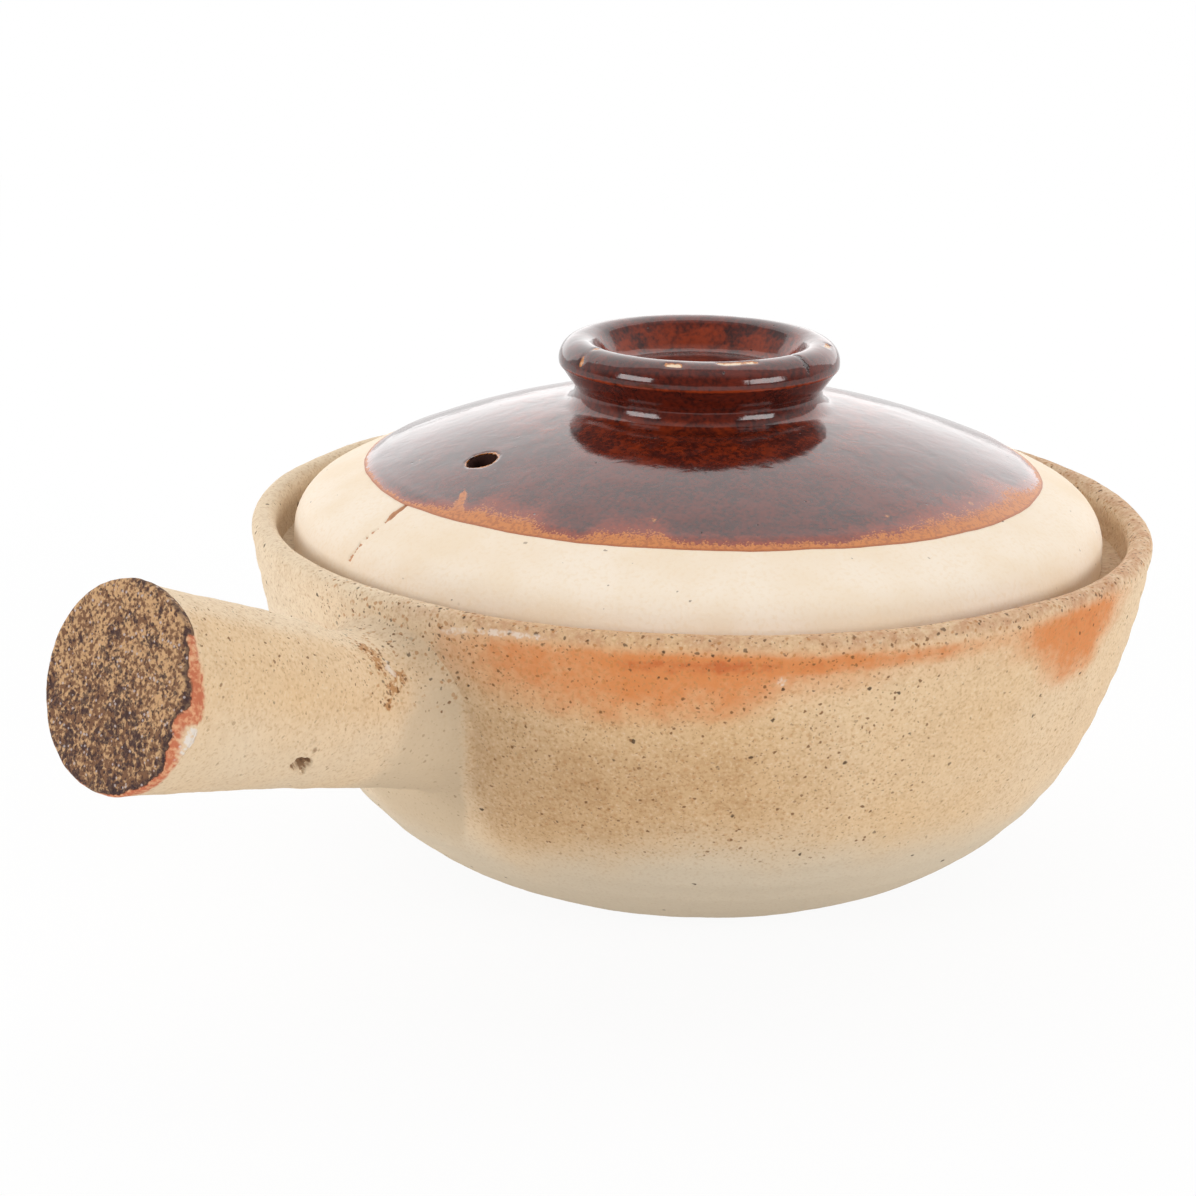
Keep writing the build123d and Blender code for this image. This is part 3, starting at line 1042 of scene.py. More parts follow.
    def shape(self, point: Vector) -> float:
        """Gives how far the hand-thrown surface stands off the true section, always inwards."""
        if not self.is_outside(point) or point.z < 0.2 * MM:
            return 0.0
        height = point.z / MM
        rings = 0.10 * math.sin(height * 1.15 + 1.2 * lumps(point, 60 * MM)) * ease(6, 14, height)
        waver = 0.22 * lumps(point, 30 * MM) + 0.07 * lumps(point, 5 * MM) + 0.05 * lumps(point, 1.6 * MM)
        return (min(rings + waver, 0.30) - 0.32 + 0.28 * self.slip(point)) * MM

    def build(self) -> bpy.types.Object:
        """Models and dresses the bowl and its lining.

        Returns:
            The bowl.
        """
        mesh = self.skin()
        for point in mesh.verts:
            rise = ease(self.seat_height, self.rim_height, point.co.z)
            side = ease(self.dip_spread, 0, abs(azimuth(point.co) - self.dip_angle))
            point.co.z -= self.dip * rise * side
        push(mesh, self.shape)
        shares = {"flash": self.flash, "grey": self.grey, "slip": self.slip, "pale": self.pale,
                  "shade": self.shade, "lip": self.lip_tint, "speckle": self.speckle, "chalk": self.chalk,
                  "stain_and_shade": self.stain_and_shade}
        mark_all(mesh, shares)
        clay = SandyClay().material("sandy_clay")
        add_piece("lining", self.lining_skin(), BrownGlaze().material("inside_glaze"), Body.POT,
                  "pot_lining")
        return add_piece("bowl", mesh, clay, Body.POT, "pot_bowl")


@dataclass
class Handle:
    """The stub handle, luted to the wall, with the rough disc that closes its end."""

    root: Vector
    height: float = 47.7 * MM
    tilt: float = 18.0
    length: float = 66.0 * MM
    end_radius: float = 17.8 * MM
    waist_radius: float = 13.8 * MM
    waist_distance: float = 13.0 * MM
    fillet: float = 5.0 * MM
    calm_distance: float = 30.0 * MM
    sink: float = 0.35 * MM
    pit_distance: float = 33.8 * MM
    pit_angle: float = 123.0
    pit_depth: float = 1.9 * MM
    disc: float = 3.6 * MM
    rim_rounding: float = 0.9 * MM
    skin_pitch: float = 1.1 * MM
    face_pitch: float = 0.42 * MM
    round_steps: int = 144
    face_steps: int = 240

    @cached_property
    def place(self) -> Matrix:
        """The turn and move that put the handle, drawn along Z, on the pot."""
        out = Vector((-math.cos(math.radians(self.tilt)), 0, math.sin(math.radians(self.tilt))))
        side = Vector((0, -1, 0))
        turned = Matrix((side, out.cross(side), out)).transposed().to_4x4()
        return Matrix.Translation(self.root) @ turned

    def radius_at(self, distance: float) -> float:
        """Gives the outer radius at a distance from the wall, beyond the waist."""
        taper = (self.end_radius - self.waist_radius) / (self.length - self.waist_distance)
        return self.waist_radius + taper * (distance - self.waist_distance)

    @cached_property
    def back(self) -> Matrix:
        """The way back from the pot's frame to the handle drawn along Z."""
        return self.place.inverted()

    @staticmethod
    def angle(point: Vector) -> float:
        """Gives a local point's angle about the handle, from its top towards -Y, from -180 to 180."""
        return math.degrees(math.atan2(point.x, point.y))

    def spin_skin(self) -> bmesh.types.BMesh:
        """Spins the handle's section, foot and all."""
        seam = self.length - self.disc
        section = Section(Vector((0, 0)), self.skin_pitch * 2)
        section.line(Vector((self.waist_radius + self.fillet, 0)))
        section.pitch = self.skin_pitch / 2
        section.heading = HALF
        section.bend(self.fillet, -QUARTER)
        section.pitch = self.skin_pitch
        section.line(Vector((self.waist_radius, self.waist_distance)))
        section.line(Vector((self.radius_at(seam), seam))).line(Vector((0, seam)))
        return section.spun(self.round_steps)

    def seat(self, mesh: bmesh.types.BMesh, bowl: BVHTree) -> None:
        """Stretches the foot's fillet and slides it along the handle's axis until it lies on the bowl.

        Args:
            mesh: The handle, drawn along Z.
            bowl: The bowl's surface, in the pot's frame.
        """
        down = (self.place.to_3x3() @ Vector((0, 0, -1))).normalized()
        for point in mesh.verts:
            place = point.co
            if place.z >= self.calm_distance:
                continue
            turn = abs(self.angle(place))
            spread = between(((0, 4.5), (50, 6), (100, 5.5), (140, 2.2), (165, 0.8)), turn) * MM
            reach = between(((0, 9), (60, 13), (110, 11), (145, 5), (165, 3)), turn) * MM
            radius = math.hypot(place.x, place.y)
            if radius > self.waist_radius and place.z < self.fillet:
                wider = self.waist_radius + (radius - self.waist_radius) * spread / self.fillet
                place.x *= wider / radius
                place.y *= wider / radius
            if place.z < self.fillet:
                place.z *= reach / self.fillet
            else:
                share = (self.calm_distance - place.z) / (self.calm_distance - self.fillet)
                place.z = self.calm_distance - share * (self.calm_distance - reach)
            start = self.place @ Vector((place.x, place.y, self.calm_distance))
            hit = bowl.ray_cast(start, down)[0]
            if hit is not None:
                level = (self.back @ hit).z - self.sink * ease(reach, 0, place.z)
                place.z += level * ease(self.calm_distance, reach * 0.6, place.z)

    def pale(self, point: Vector) -> float:
        """Gives the share of the pale clay along the handle's top and underneath; its side is yellower."""
        turn = abs(self.angle(self.back @ point))
        return between(((0, 0.85), (22, 0.75), (40, 0.4), (75, 0.3), (100, 0.5), (180, 0.5)), turn)

    def grey(self, point: Vector) -> float:
        """Gives the share of the greyer clay on the handle's lower side."""
        return ease(70, 125, abs(self.angle(self.back @ point)) + 8 * lumps(point, 12 * MM)) * 0.35

    def near(self, point: Vector, marks: Iterable[tuple[float, float, float]]) -> float:
        """Gives the share of a few round marks.

        Args:
            point: The place on the surface.
            marks: Each mark's distance from the wall, its angle and its size, in millimetres.

        Returns:
            The share of the nearest mark.
        """
        local = self.back @ point
        return max(spot(local, self.on_side(along * MM, turn), size * MM) for along, turn, size in marks)

    def rust(self, point: Vector) -> float:
        """Gives the share of the rusty patch where the handle meets the bowl."""
        patches = ((18.4, 28, 3.0), (17.4, 35, 3.8), (16.6, 43, 3.2), (13.0, 54, 3.0), (16.2, 74, 3.0),
                   (15.0, 62, 2.8))
        return self.near(point, patches)

    def stain_and_shade(self, point: Vector) -> float:
        """Gives the share of brown dirt in a smudge over the pit and in large specks, and of painted shade
        inside the pit.
        """
        smudge = 0.6 * self.near(point, ((34.6, 105, 2.2), (33.0, 110, 1.8), (32.0, 104, 1.6)))
        specks = self.near(point, ((19.3, 69, 0.9), (52.9, 79, 0.8), (25.8, 92, 0.7)))
        # The pit's depth share paints its inside brown, as painted shade.
        return max(smudge, self.pit(point), specks)

    def speckle(self, point: Vector) -> float:
        """Gives the share of specks, which crowd round the handle's upper foot."""
        local = self.back @ point
        upper = ease(95, 55, abs(self.angle(local)))
        return 0.25 + 0.25 * upper + 0.4 * upper * ease(28 * MM, 16 * MM, local.z)

    def pit(self, point: Vector) -> float:
        """Gives the depth share of the angular pit low on the handle's side."""
        local = self.back @ point
        along = (local.z - self.pit_distance) / (2.7 * MM)
        across = (self.angle(local) - self.pit_angle) / 6.5
        ragged = 0.35 * lumps(point, 1.3 * MM)
        return ease(1.0, 0.55, max(abs(along), abs(across + 0.35 * along)) + ragged)

    def crust(self, point: Vector) -> float:
        """Gives the share of the dark crust, which stops short of the rim on one side."""
        local = self.back @ point
        edges = ((-180, 17.3), (-60, 18.5), (42, 18.5), (52, 17.0), (68, 15.9), (76, 16.5), (86, 16.2),
                 (98, 14.7), (116, 15.4), (128, 16.9), (180, 17.3))
        edge = between(edges, self.angle(local)) * MM
        inset = edge - math.hypot(local.x, local.y) + 0.3 * MM * lumps(point, 2.0 * MM)
        face = ease(self.length - 2.6 * MM, self.length - 1.9 * MM, local.z)
        return min(max((inset + 0.4 * MM) / (1.9 * MM), 0.0), 1.0) * face

    def rim(self, point: Vector) -> float:
        """Gives the share of the orange band round the end."""
        local = self.back @ point
        reaches = ((20, 0.4), (40, 1.6), (60, 1.6), (70, 2.4), (93, 3.2), (100, 1.2), (121, 2.0),
                   (150, 2.6), (175, 0.8))
        reach = between(reaches, self.angle(local)) * MM
        return ease(self.length - reach - 1.6 * MM, self.length - reach + 1.0 * MM, local.z)

    def rim_chalk(self, point: Vector) -> float:
        """Gives the share of the white chips on the rim."""
        local = self.back @ point
        chips = ((88, 65.6, 1.1), (93, 65.2, 1.5), (101, 63.4, 1.7), (106, 63.6, 2.0), (112, 64.2, 1.8),
                 (119, 64.8, 1.5), (126, 65.2, 1.3))
        shares = []
        for angle, along, size in chips:
            turn = math.radians(angle)
            middle = Vector((17.6 * MM * math.sin(turn), 17.6 * MM * math.cos(turn), along * MM))
            shares.append(spot(local, middle, size * MM))
        return max(shares)

    def close_seam(self, mesh: bmesh.types.BMesh) -> None:
        """Brings the corners at the seam between the handle and its disc back into one plane."""
        seam = self.length - self.disc
        for point in mesh.verts:
            local = self.back @ point.co
            if abs(local.z - seam) < self.face_pitch * 0.8:
                local.z = seam
                point.co = self.place @ local

    def clay_shape(self, point: Vector) -> float:
        """Gives how far the hand-shaped side stands off the true section, always inwards."""
        relief = 0.2 * lumps(point, 16 * MM) + 0.08 * lumps(point, 4 * MM) + 0.05 * lumps(point, 1.5 * MM)
        return (relief - 0.2) * MM

    def skin(self, bowl: BVHTree) -> bmesh.types.BMesh:
        """Models the handle's skin on the bowl.

        Args:
            bowl: The bowl's surface.

        Returns:
            The mesh.
        """
        mesh = self.spin_skin()
        pit = self.on_side(self.pit_distance, self.pit_angle)
        refine(mesh, lambda middle: (middle - pit).length < 4.6 * MM, 4)
        self.seat(mesh, bowl)
        bmesh.ops.transform(mesh, matrix=self.place, verts=mesh.verts[:])
        end = self.length - self.disc

        def shape(point: Vector) -> float:
            """Adds the pit to the skin, and leaves the hidden ends flat."""
            local = self.back @ point
            hidden = math.hypot(local.x, local.y) < self.radius_at(end) - 1 * MM and local.z > end - 0.1 * MM
            return 0.0 if hidden else self.clay_shape(point) - self.pit_depth * self.pit(point)

        push(mesh, shape)
        self.close_seam(mesh)
        return mesh

    def on_side(self, distance: float, angle: float) -> Vector:
        """Gives the local point on the handle's side at a distance from the wall and an angle."""
        turn, radius = math.radians(angle), self.radius_at(distance)
        return Vector((radius * math.sin(turn), radius * math.cos(turn), distance))

    def disc_skin(self) -> bmesh.types.BMesh:
        """Models the disc with its rough face and worn rim."""
        seam = self.length - self.disc
        section = Section(Vector((0, seam)), self.skin_pitch)
        section.line(Vector((self.radius_at(seam), seam)))
        section.pitch = self.face_pitch
        section.line(Vector((self.end_radius - 0.03 * MM, self.length - self.rim_rounding)))
        section.heading = QUARTER
        section.bend(self.rim_rounding, QUARTER)
        section.line(Vector((0, self.length)))
        mesh = section.spun(self.face_steps)
        for point in mesh.verts:
            angle = self.angle(point.co)
            wear = between(((-180, 0), (40, 0), (75, 1.3), (105, 2.6), (130, 1.2), (160, 0)), angle) * MM
            flare = between(((-180, 0), (-130, 0.5), (-40, 0.6), (30, 0.4), (50, 0), (180, 0)), angle) * MM
            radius = math.hypot(point.co.x, point.co.y)
            wider = 1 + flare * ease(seam, self.length, point.co.z) / self.end_radius
            point.co.x *= wider
            point.co.y *= wider
            point.co.z -= wear * ease(self.end_radius - 3.2 * MM, self.end_radius, radius) * ease(
                seam, self.length, point.co.z)
        bmesh.ops.transform(mesh, matrix=self.place, verts=mesh.verts[:])

        def shape(point: Vector) -> float:
            """Adds the crumbs of the crust to the skin."""
            local = self.back @ point
            if local.z < seam + 0.1 * MM and math.hypot(local.x, local.y) < self.radius_at(seam) - 1 * MM:
                return 0.0
            crumbs = (0.24 * abs(lumps(point, 1.7 * MM)) + 0.14 * lumps(point, 0.8 * MM)
                      + 0.25 * lumps(point, 5 * MM))
            face = ease(self.end_radius, self.end_radius - 1.5 * MM, math.hypot(local.x, local.y))
            rough = (min(crumbs, 0.4) - 0.42) * MM
            return self.clay_shape(point) * (1 - face) + rough * face

        push(mesh, shape)
        self.close_seam(mesh)
        return mesh

    def build(self, bowl: bpy.types.Object, thrown: Bowl) -> None:
        """Models and dresses the handle and its disc.

        Args:
            bowl: The bowl's piece, which the handle stands on.
            thrown: The bowl, whose colours run on over the handle's foot.
        """
        tree = BVHTree.FromPolygons(
            [corner.co for corner in bowl.data.vertices], [face.vertices for face in bowl.data.polygons]
        )
        mesh = self.skin(tree)
        def foot(own: Shape, other: Shape) -> Shape:
            """Lets a colour of the bowl run on over the foot and turn into the handle's own."""
            def blended(point: Vector) -> float:
                """Gives the share at a point."""
                share = ease(5 * MM, 18 * MM, (self.back @ point).z + 2.5 * MM * lumps(point, 7 * MM))
                return own(point) * share + other(point) * (1 - share)
            return blended

        clay = {"pale": foot(self.pale, thrown.pale), "grey": foot(self.grey, thrown.grey),
                "slip": foot(lambda point: 0.0, thrown.slip), "shade": foot(lambda point: 0.15, thrown.shade),
                "speckle": self.speckle}
        own = {"rust": self.rust, "stain_and_shade": self.stain_and_shade, "flash": lambda point: 0.6 * self.rim(point),
               "chalk": lambda point: self.near(point, ((15.3, 41, 1.2), (15.0, 46, 1.5), (14.6, 51, 1.4)))}
        for name, share in (clay | own).items():
            mark(mesh, name, share)
        add_piece("handle", mesh, bowl.data.materials[0], Body.POT, "pot_handle")
        disc = self.disc_skin()
        for name, share in (clay | {"crust": self.crust, "rim": self.rim, "chalk": self.rim_chalk}).items():
            mark(disc, name, share)
        add_piece("end_disc", disc, Crust().material("crust"), Body.POT, "handle_end_disc")


@dataclass
class Lid:
    """The domed lid with its cup-shaped knob and one coat of glaze over both."""

    seat_height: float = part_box("lid_dome")[0].z
    edge_radius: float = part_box("lid_dome")[1].x
    knob_radius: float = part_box("lid_knob")[1].x
    knob_foot_height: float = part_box("lid_knob")[0].z
    crest_height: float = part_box("lid_knob")[1].z
    thickness: float = 5.6 * MM
    edge_height: float = 10.4 * MM
    edge_rounding: float = 9.5 * MM
    crown_rise: float = 21.3 * MM
    seat_ring: float = 5.2 * MM
    seat_rounding: float = 1.2 * MM
    crack_bottom: float = 6.0 * MM
    glaze: float = 0.45 * MM
    bite: float = 0.12 * MM
    coat_radius: float = 67.0 * MM
    edge_taper: float = 3.0 * MM
    hole_radius: float = 3.0 * MM
    hole_distance: float = 50.0 * MM
    hole_angle: float = 164.1
    knob_undercut: float = 2.8 * MM
    roll_width: float = 3.8 * MM
    roll_height: float = 4.5 * MM
    mouth_width: float = 2.2 * MM
    mouth_drop: float = 0.7 * MM
    hollow_depth: float = 6.6 * MM
    hollow_draft: float = 2.4 * MM
    lean: Vector = Vector((-0.659, 0.752, 0)) * 0.7 * MM
    knob_lean: Vector = Vector((-0.659, 0.752, 0)) * 1.0 * MM
    crown_pitch: float = 1.0 * MM
    knob_pitch: float = 0.55 * MM
    round_steps: int = 288

    @cached_property
    def crown(self) -> Arc:
        """The outside of the crown, from the middle to the corner over the edge."""
        corner = Vector((self.edge_radius, self.seat_height + self.edge_height))
        return Arc(Vector((0, corner.y + self.crown_rise)), 0, corner)

    @cached_property
    def ball(self) -> Vector:
        """The centre of the ball that the crown is cut from, before the lid leans."""
        return Vector((0, 0, self.crown.centre.y))

    def edge_start(self) -> tuple[Vector, Vector]:
        """Finds the rounding over the edge.

        Returns:
            Where the rounding leaves the crown, and its centre.
        """
        centre_x = self.edge_radius - self.edge_rounding
        reach = -self.crown.radius - self.edge_rounding
        centre = Vector((centre_x, self.crown.centre.y + math.sqrt(reach**2 - centre_x**2)))
        spoke = (centre - self.crown.centre).normalized()
        return centre + spoke * self.edge_rounding, centre

    def dome_skin(self) -> bmesh.types.BMesh:
        """Spins the lid's clay."""
        crown = self.crown
        start, centre = self.edge_start()
        inner_edge = self.edge_radius - self.seat_ring
        section = Section(crown.start, self.crown_pitch)
        section.swing(crown.centre, crown.heading_at(start) - crown.heading)
        section.heading = crown.heading_at(start)
        section.swing(centre, -QUARTER - section.heading)
        section.line(Vector((self.edge_radius, self.seat_height + self.seat_rounding)))
        section.bend(self.seat_rounding, -QUARTER)
        section.line(Vector((inner_edge, self.seat_height)))
        under = crown.inside(-self.thickness)
        section.pitch = self.crown_pitch * 2
        section.line(under.at_distance(inner_edge))
        section.heading = under.heading_at(section.place) + HALF
        section.swing(under.centre, -(under.heading_at(section.place) - under.heading))
        return section.spun(self.round_steps)

    def knob_line(self, section: Section, coat: float) -> None:
        """Draws the knob's outside from the middle of its hollow down to its foot.

        Args:
            section: The section, whose pen is on the axis in the hollow.
            coat: How far the line stands off the clay.
        """
        crest = Vector((self.knob_radius - self.roll_width, self.crest_height))
        mouth = crest - Vector((self.mouth_width, self.mouth_drop))
        floor = Vector((mouth.x - self.hollow_draft, crest.y - self.hollow_depth))
        foot = self.knob_radius - self.knob_undercut
        slope = math.degrees(math.atan2(mouth.y - floor.y, mouth.x - floor.x))
        soft = 2.6 * MM
        section.line(Vector((floor.x - soft, floor.y + coat)))
        section.bend(soft, slope)
        inner = Arc(crest + Vector((0, coat)), HALF, mouth + Vector((-coat * 0.8, coat * 0.6)))
        section.line(inner.end)
        section.arc(inner.back())
        arris = Vector((self.knob_radius + coat, crest.y - self.roll_height))
        outer = Arc(inner.start, 0, arris)
        section.arc(outer)
        section.bend(0.7 * MM, -58)
        section.line(Vector((foot + coat - 0.5 * MM, self.knob_foot_height + 3.6 * MM)))
        section.line(Vector((foot + coat - 0.4 * MM, self.knob_foot_height + coat + 2.4 * MM)))

    def knob_skin(self) -> bmesh.types.BMesh:
        """Spins the knob's clay, which the glaze hides but for its chips."""
        section = Section(Vector((0, self.crest_height - self.hollow_depth)), self.crown_pitch)
        self.knob_line(section, -self.bite)
        section.line(Vector((self.knob_radius - self.knob_undercut, self.knob_foot_height)))
        section.line(Vector((0, self.knob_foot_height)))
        return section.spun(self.round_steps // 2)

    def coat_skin(self) -> bmesh.types.BMesh:
        """Spins the glaze: down the knob, out over the crown to its edge, and back underneath."""
        crown, edge = self.crown, self.coat_radius
        section = Section(Vector((0, self.crest_height - self.hollow_depth + self.glaze)), self.knob_pitch)
        self.knob_line(section, self.glaze)
        joint = crown.at_distance(section.place.x + 2.6 * MM)
        spoke = (joint - crown.centre).normalized()
        section.arc(Arc(joint + spoke * self.glaze, crown.heading_at(joint) + HALF, section.place).back())
        section.pitch = self.crown_pitch
        start = crown.heading_at(joint)
        section.heading = start
        section.swing(crown.centre, crown.heading_at(crown.at_distance(edge - self.edge_taper)) - start)
        rim = crown.at_distance(edge)
        down = (rim - crown.centre).normalized()
        section.line(rim + down * 0.04 * MM)
        section.line(rim - down * self.bite)
        section.pitch = self.crown_pitch * 2
        section.heading = crown.heading_at(rim) + HALF
        section.swing(crown.centre, start - crown.heading_at(rim))
        section.line(Vector((0, section.place.y)))
        return section.spun(self.round_steps)

    @cached_property
    def hole_direction(self) -> Vector:
        """The direction of the steam hole's axis, out from the middle of the crown's ball."""
        return (self.on_crown(self.hole_angle, self.hole_distance / MM) - self.ball).normalized()

    def from_hole(self, point: Vector) -> float:
        """Gives a point's distance from the steam hole's axis, before the lid leans."""
        spoke = point - self.ball
        return spoke.cross(self.hole_direction).length if spoke.dot(self.hole_direction) > 0 else spoke.length

    def pierce(self, mesh: bmesh.types.BMesh, skins: tuple[float, float]) -> None:
        """Cuts the steam hole through both skins of a closed shell, before the lid leans.

        Args:
            mesh: The mesh to cut.
            skins: The radii of the balls on which the skins lie.
        """
        ball, out, away = self.ball, self.hole_direction, self.from_hole

        def on_skin(point: Vector) -> bool:
            """Says whether a point lies on one of the skins to cut."""
            return any(abs((point - ball).length - radius) < 0.3 * MM for radius in skins)

        reach = self.hole_radius + 3 * MM
        refine(mesh, lambda middle: away(middle) < reach and on_skin(middle), 3)
        middles = ((face, face.calc_center_median()) for face in mesh.faces)
        inside = [face for face, middle in middles if away(middle) < self.hole_radius and on_skin(middle)]
        bmesh.ops.delete(mesh, geom=inside, context="FACES")
        rims = [edge for edge in mesh.edges if edge.is_boundary]
        for point in {corner for edge in rims for corner in edge.verts}:
            spoke = (point.co - ball).length
            offset = point.co - ball - out * (point.co - ball).dot(out)
            wobble = 1 + 0.08 * lumps(offset, 2.5 * MM)
            point.co = ball + (out * math.sqrt(spoke**2 - self.hole_radius**2)
                               + offset.normalized() * self.hole_radius * wobble)
        bmesh.ops.bridge_loops(mesh, edges=rims)

    def trim(self, mesh: bmesh.types.BMesh, edge: GlazeEdge) -> None:
        """Moves the rim of the coat along the crown to where the glaze ends, before the lid leans."""
        for point in mesh.verts:
            distance = math.hypot(point.co.x, point.co.y)
            shift = edge.radius(point.co) * MM - self.coat_radius
            shift *= ease(self.coat_radius - 9 * MM, self.coat_radius, distance)
            if shift:
                fall = self.crown.at_distance(distance + shift).y - self.crown.at_distance(distance).y
                out = Vector((point.co.x, point.co.y, 0)) / distance
                point.co += out * shift + Vector((0, 0, fall))

    def crack(self, point: Vector) -> float:
        """Gives the depth share of the drying crack across the bare band, and of a small one."""
        place = point - self.lean
        distance, angle = math.hypot(place.x, place.y) / MM, azimuth(place)
        if place.z < self.seat_height + self.crack_bottom:
            return 0.0
        course = ((66, 164.0), (68.4, 164.0), (71, 164.8), (74, 165.3), (77.2, 165.6), (80, 165.5))
        widths = ((66, 0.5), (67.8, 1.05), (70, 1.1), (71.5, 0.6), (73, 0.45), (76, 0.5), (77.4, 0.7),
                  (78.5, 0.4), (80.5, 0.3))
        path, width = between(course, distance), between(widths, distance)
        off = abs(math.radians(angle - path)) * distance + 0.18 * lumps(point, 1.2 * MM)
        dots = max(ease(72, 70, distance), ease(-0.5, 0.3, lumps(point, 1.1 * MM)))
        long = ease(width, width * 0.25, off) * ease(80.6, 79, distance) * dots
        short = spot(place, self.on_crown(149.4, 67.7), 1.2 * MM)
        return max(long, short)

    def near_crack(self, place: Vector) -> bool:
        """Says whether a place on the dome lies near the long crack, before the lid leans."""
        if place.z < self.seat_height + self.crack_bottom or abs(azimuth(place) - 164.6) > 1.6:
            return False
        return 66 * MM < math.hypot(place.x, place.y) < 80 * MM

    def stain_and_shade(self, point: Vector) -> float:
        """Gives the share of painted shade, a dark brown, on the wall of the steam hole."""
        place = point - self.lean
        return ease(self.hole_radius + 1.5 * MM, self.hole_radius + 0.6 * MM, self.from_hole(place))

    def on_crown(self, angle: float, distance: float) -> Vector:
        """Gives the crown's point at an angle and a distance in millimetres, before the lid leans."""
        level = self.crown.at_distance(distance * MM)
        return on_pot(angle, level.x, level.y)

    def chips(self, point: Vector) -> float:
        """Gives the share of the chips in the glaze, on the knob's lip and on the rim of the steam hole."""
        place = point - self.knob_lean
        distance, angle = math.hypot(place.x, place.y) / MM, azimuth(place)
        if distance > 32:
            off = abs(self.from_hole(point - self.lean) - self.hole_radius) + 0.3 * MM * lumps(point, 2 * MM)
            return 0.55 * ease(0.9 * MM, 0.1 * MM, off)
        chips = ((208, 2.6, 25.4, 103.9, 0.8), (237, 8.0, 24.3, 104.3, 0.9), (301, 2.5, 25.3, 104.0, 0.9),
                 (216, 1.2, 26.9, 97.7, 0.6), (220, 1.4, 26.5, 97.0, 0.6), (225, 1.4, 26.1, 96.4, 0.6))
        ragged = 0.25 * lumps(point, 1.4 * MM)
        shares = []
        for turn, half, reach, height, size in chips:
            along = math.radians(max(abs(angle - turn) - half, 0)) * distance
            off = math.hypot(along, distance - reach, place.z / MM - height) + ragged
            shares.append(ease(size, size * 0.35, off))
        line = abs(math.radians(angle - 162.5)) * distance + 1.2 * lumps(point, 3 * MM)
        shares.append(0.6 * ease(0.7, 0.2, line) * ease(100.5, 102, place.z / MM) * ease(21, 22, distance))
        return max(shares)

    def seams(self, point: Vector) -> float:
        """Gives the share of the crumpled seam in the glaze of the knob's lip."""
        place = point - self.knob_lean
        distance = math.hypot(place.x, place.y) / MM
        off = abs(math.radians(azimuth(place) - 269)) * distance + 0.9 * lumps(point, 2.2 * MM)
        on_lip = ease(21, 22, distance) * ease(100.5, 102, place.z / MM) * ease(30, 29, distance)
        return ease(0.8, 0.2, off) * on_lip

    def thin(self, point: Vector) -> float:
        """Gives the share of thin, red glaze: in the knob's hollow, on its arris and over its foot."""
        place = point - self.knob_lean
        distance = math.hypot(place.x, place.y) / MM
        height = place.z / MM
        hollow = ease(24, 18, distance) * ease(97, 99, height)
        above = height - (self.crest_height - self.roll_height) / MM
        arris = ease(0.6, 0.0, abs(above)) * ease(27, 27.6, distance)
        foot = ease(52, 34, distance) * ease(96, 92, height)
        return max(hollow * 0.8, arris * 0.8, foot * 0.45, 0.1)

    def tongue(self, point: Vector) -> float:
        """Gives the share of the amber tongue that runs up from the glaze's edge."""
        place = point - self.lean
        distance = math.hypot(place.x, place.y) / MM
        path = between(((58.5, 171.4), (61.6, 173.9), (64.7, 176.0), (67, 177.5)), distance)
        width = between(((58.5, 0.7), (61.5, 1.6), (65, 2.4), (67, 3.6)), distance)
        off = abs(math.radians(azimuth(place) - path)) * distance
        return ease(width, width * 0.3, off) * ease(58, 60, distance)

    def coat_shape(self, point: Vector) -> float:
        """Gives the glaze's own swelling and the pits of its chips."""
        pimples = ((57.1, 257.2), (54, 265.4), (50.5, 274.6))
        place = point - self.lean
        bumps = max(spot(place, self.on_crown(angle, distance), 1.1 * MM) for distance, angle in pimples)
        flow = 0.05 * lumps(point, 9 * MM) - 0.05
        rim = ease(self.coat_radius - 5 * MM, self.coat_radius - 2 * MM, math.hypot(place.x, place.y))
        return (flow * (1 - rim) + 0.2 * bumps - 0.35 * self.chips(point) - 0.12 * self.seams(point)) * MM

    def settle(self, mesh: bmesh.types.BMesh) -> None:
        """Moves a mesh to where the lid and the knob really lie, the knob a little further."""
        for point in mesh.verts:
            knob = ease(34 * MM, 29 * MM, math.hypot(point.co.x, point.co.y))
            point.co += self.lean.lerp(self.knob_lean, knob)

    def build(self) -> None:
        """Models and dresses the lid, the knob and the glaze."""
        edge = GlazeEdge()
        radius = abs(self.crown.radius)
        clay = LidClay().material("lid_clay")
        dome = self.dome_skin()
        self.pierce(dome, (radius, radius - self.thickness))
        refine(dome, self.near_crack, 3)
        self.settle(dome)
        push(dome, lambda point: (0.04 * lumps(point, 12 * MM) - 0.04 - 0.5 * self.crack(point)) * MM)
        mark(dome, "crack", self.crack)
        mark(dome, "stain_and_shade", self.stain_and_shade)
        add_piece("dome", dome, clay, Body.LID, "lid_dome")

        knob = self.knob_skin()
        self.settle(knob)
        add_piece("knob", knob, clay, Body.LID, "lid_knob")

        coat = self.coat_skin()
        self.pierce(coat, (radius + self.glaze, radius - self.bite))
        self.trim(coat, edge)
        self.settle(coat)
        push(coat, self.coat_shape)
        shares = {"thin": self.thin, "chip": self.chips, "seam": self.seams, "tongue": self.tongue,
                  "inside": lambda point: edge.inside(point - self.lean),
                  "band": lambda point: edge.width(point - self.lean)}
        mark_all(coat, shares)
        glaze = BrownGlaze().material("crown_glaze", bordered=True)
        add_piece("crown_glaze", coat, glaze, Body.LID, "lid_glaze")


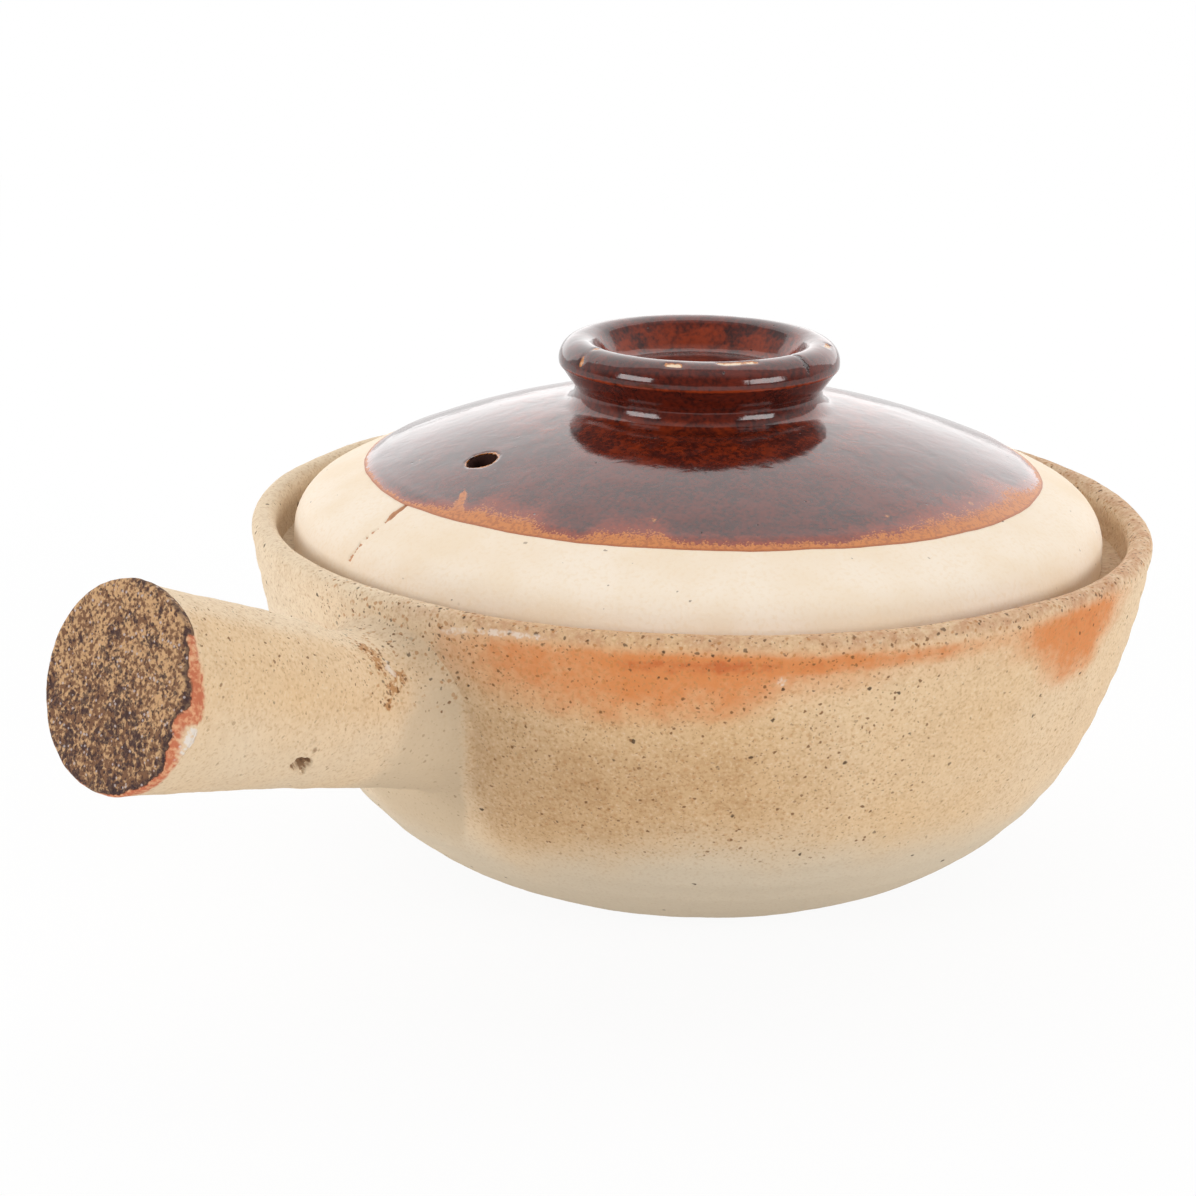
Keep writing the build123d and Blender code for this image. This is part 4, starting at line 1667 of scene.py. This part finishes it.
@dataclass
class Studio:
    """The white studio: floor, lights and the camera."""

    floor_size: float = 8.0
    camera_place: Vector = Vector((-405.74, -328.15, 208.88)) * MM
    camera_target: Vector = Vector((-13.40, 15.31, 50.34)) * MM
    camera_roll: float = 0.834
    lens: float = 80.54
    sensor: float = 36.0
    fill: float = 0.35
    mirrored_least: float = 0.15
    mirrored_most: float = 1.0
    bounce: float = 0.25

    @property
    def away(self) -> Vector:
        """The level direction from the camera to the pot."""
        view = self.camera_target - self.camera_place
        view.z = 0
        return view.normalized()

    def camera(self) -> None:
        """Sets up the camera at the photograph's viewpoint."""
        data = bpy.data.cameras.new("camera")
        data.lens = self.lens
        data.sensor_width = self.sensor
        data.clip_start = 0.01
        camera = bpy.data.objects.new("camera", data)
        view = self.camera_target - self.camera_place
        turn = view.to_track_quat("-Z", "Y").to_matrix().to_4x4()
        roll = Matrix.Rotation(math.radians(self.camera_roll), 4, "Z")
        camera.matrix_world = Matrix.Translation(self.camera_place) @ turn @ roll
        bpy.context.scene.collection.objects.link(camera)
        bpy.context.scene.camera = camera

    @staticmethod
    def seen(graph: Graph) -> Field:
        """Gives 1 for what the camera sees, straight or in a reflection."""
        rays = graph.node("ShaderNodeLightPath").outputs
        names = ("Is Camera Ray", "Is Glossy Ray", "Is Transmission Ray")
        camera, glossy, clear = (Field(graph, rays[name]) for name in names)
        return camera.most(glossy).most(clear)

    def floor(self) -> None:
        """Lays a white floor that keeps the pot's shadow."""
        graph = Graph("floor")
        diffuse = graph.node("ShaderNodeBsdfDiffuse", {}, {"Color": (0.9, 0.9, 0.9, 1)})
        glow = graph.node("ShaderNodeEmission", {}, {"Color": (1, 1, 1, 1), "Strength": 1.0})
        far = Field(graph, graph.vector("LENGTH", graph.place)).ease(250, 1000)
        share = (self.seen(graph) * (0.92 + far * 0.08)).most(self.bounce)
        shaders = {"Fac": share, 1: diffuse.outputs[0], 2: glow.outputs[0]}
        mixed = graph.node("ShaderNodeMixShader", {}, shaders)
        mesh = bmesh.new()
        bmesh.ops.create_grid(mesh, x_segments=1, y_segments=1, size=self.floor_size / 2)
        data = bpy.data.meshes.new("floor")
        mesh.to_mesh(data)
        mesh.free()
        data.materials.append(graph.finish(mixed))
        floor = bpy.data.objects.new("floor", data)
        bpy.context.scene.collection.objects.link(floor)

    def world(self) -> None:
        """Surrounds the pot with soft grey light, brighter where it is seen or mirrored behind the pot."""
        world = bpy.data.worlds.new("studio")
        world.use_nodes = True
        bpy.context.scene.world = world
        graph = Tree(world.node_tree)
        rays = graph.node("ShaderNodeLightPath").outputs
        glossy, camera = (Field(graph, rays[name]) for name in ("Is Glossy Ray", "Is Camera Ray"))
        direction = graph.node("ShaderNodeTexCoord").outputs["Generated"]
        behind = (self.away + Vector((0, 0, 1))).normalized()
        share = Field(graph, graph.vector("DOT_PRODUCT", direction, behind)).ease(-0.2, 0.4)
        mirrored = share * (self.mirrored_most - self.mirrored_least) + self.mirrored_least
        level = ((mirrored - self.fill) * glossy + self.fill).most(camera)
        sky = graph.node("ShaderNodeBackground", {}, {"Strength": level})
        graph.node("ShaderNodeOutputWorld", {}, {"Surface": sky.outputs[0]})

    @staticmethod
    def softbox(name: str, place: Vector, size: tuple[float, float], radiance: float) -> None:
        """Hangs a softbox that faces the pot.

        Args:
            name: Its name.
            place: Where it hangs.
            size: Its width and height.
            radiance: How bright its face looks, where 1 is white.
        """
        data = bpy.data.lights.new(name, "AREA")
        data.shape = "RECTANGLE"
        data.size, data.size_y = size
        data.energy = radiance * math.pi * size[0] * size[1]
        light = bpy.data.objects.new(name, data)
        light.visible_camera = False
        light.location = place
        light.rotation_euler = (Vector((0, 0, 0.05)) - place).to_track_quat("-Z", "Y").to_euler()
        bpy.context.scene.collection.objects.link(light)

    def build(self) -> None:
        """Sets up the whole studio."""
        self.camera()
        self.floor()
        self.world()
        away, up = self.away, Vector((0, 0, 1))
        right = away.cross(up)
        self.softbox("canopy", away * 0.95 + up * 1.0, (3.6, 2.6), 1.3)
        for name, side in (("left", -1), ("right", 1)):
            self.softbox(name, away * -0.77 + right * 1.1 * side + up * 0.45, (0.75, 0.5), 7.2)
        bpy.context.scene.view_settings.view_transform = "Standard"


def main() -> None:
    """Builds the pot, piece by piece, and the studio round it."""
    logging.basicConfig(level=logging.INFO, format="%(name)s: %(message)s")
    Studio().build()
    bowl = Bowl()
    bowl_piece = bowl.build()
    wall = bowl.wall_arcs[1].at_height(Handle.height)
    Handle(root=Vector((-wall.x, 0, wall.y))).build(bowl_piece, bowl)
    Lid().build()


if __name__ == "__main__":
    main()
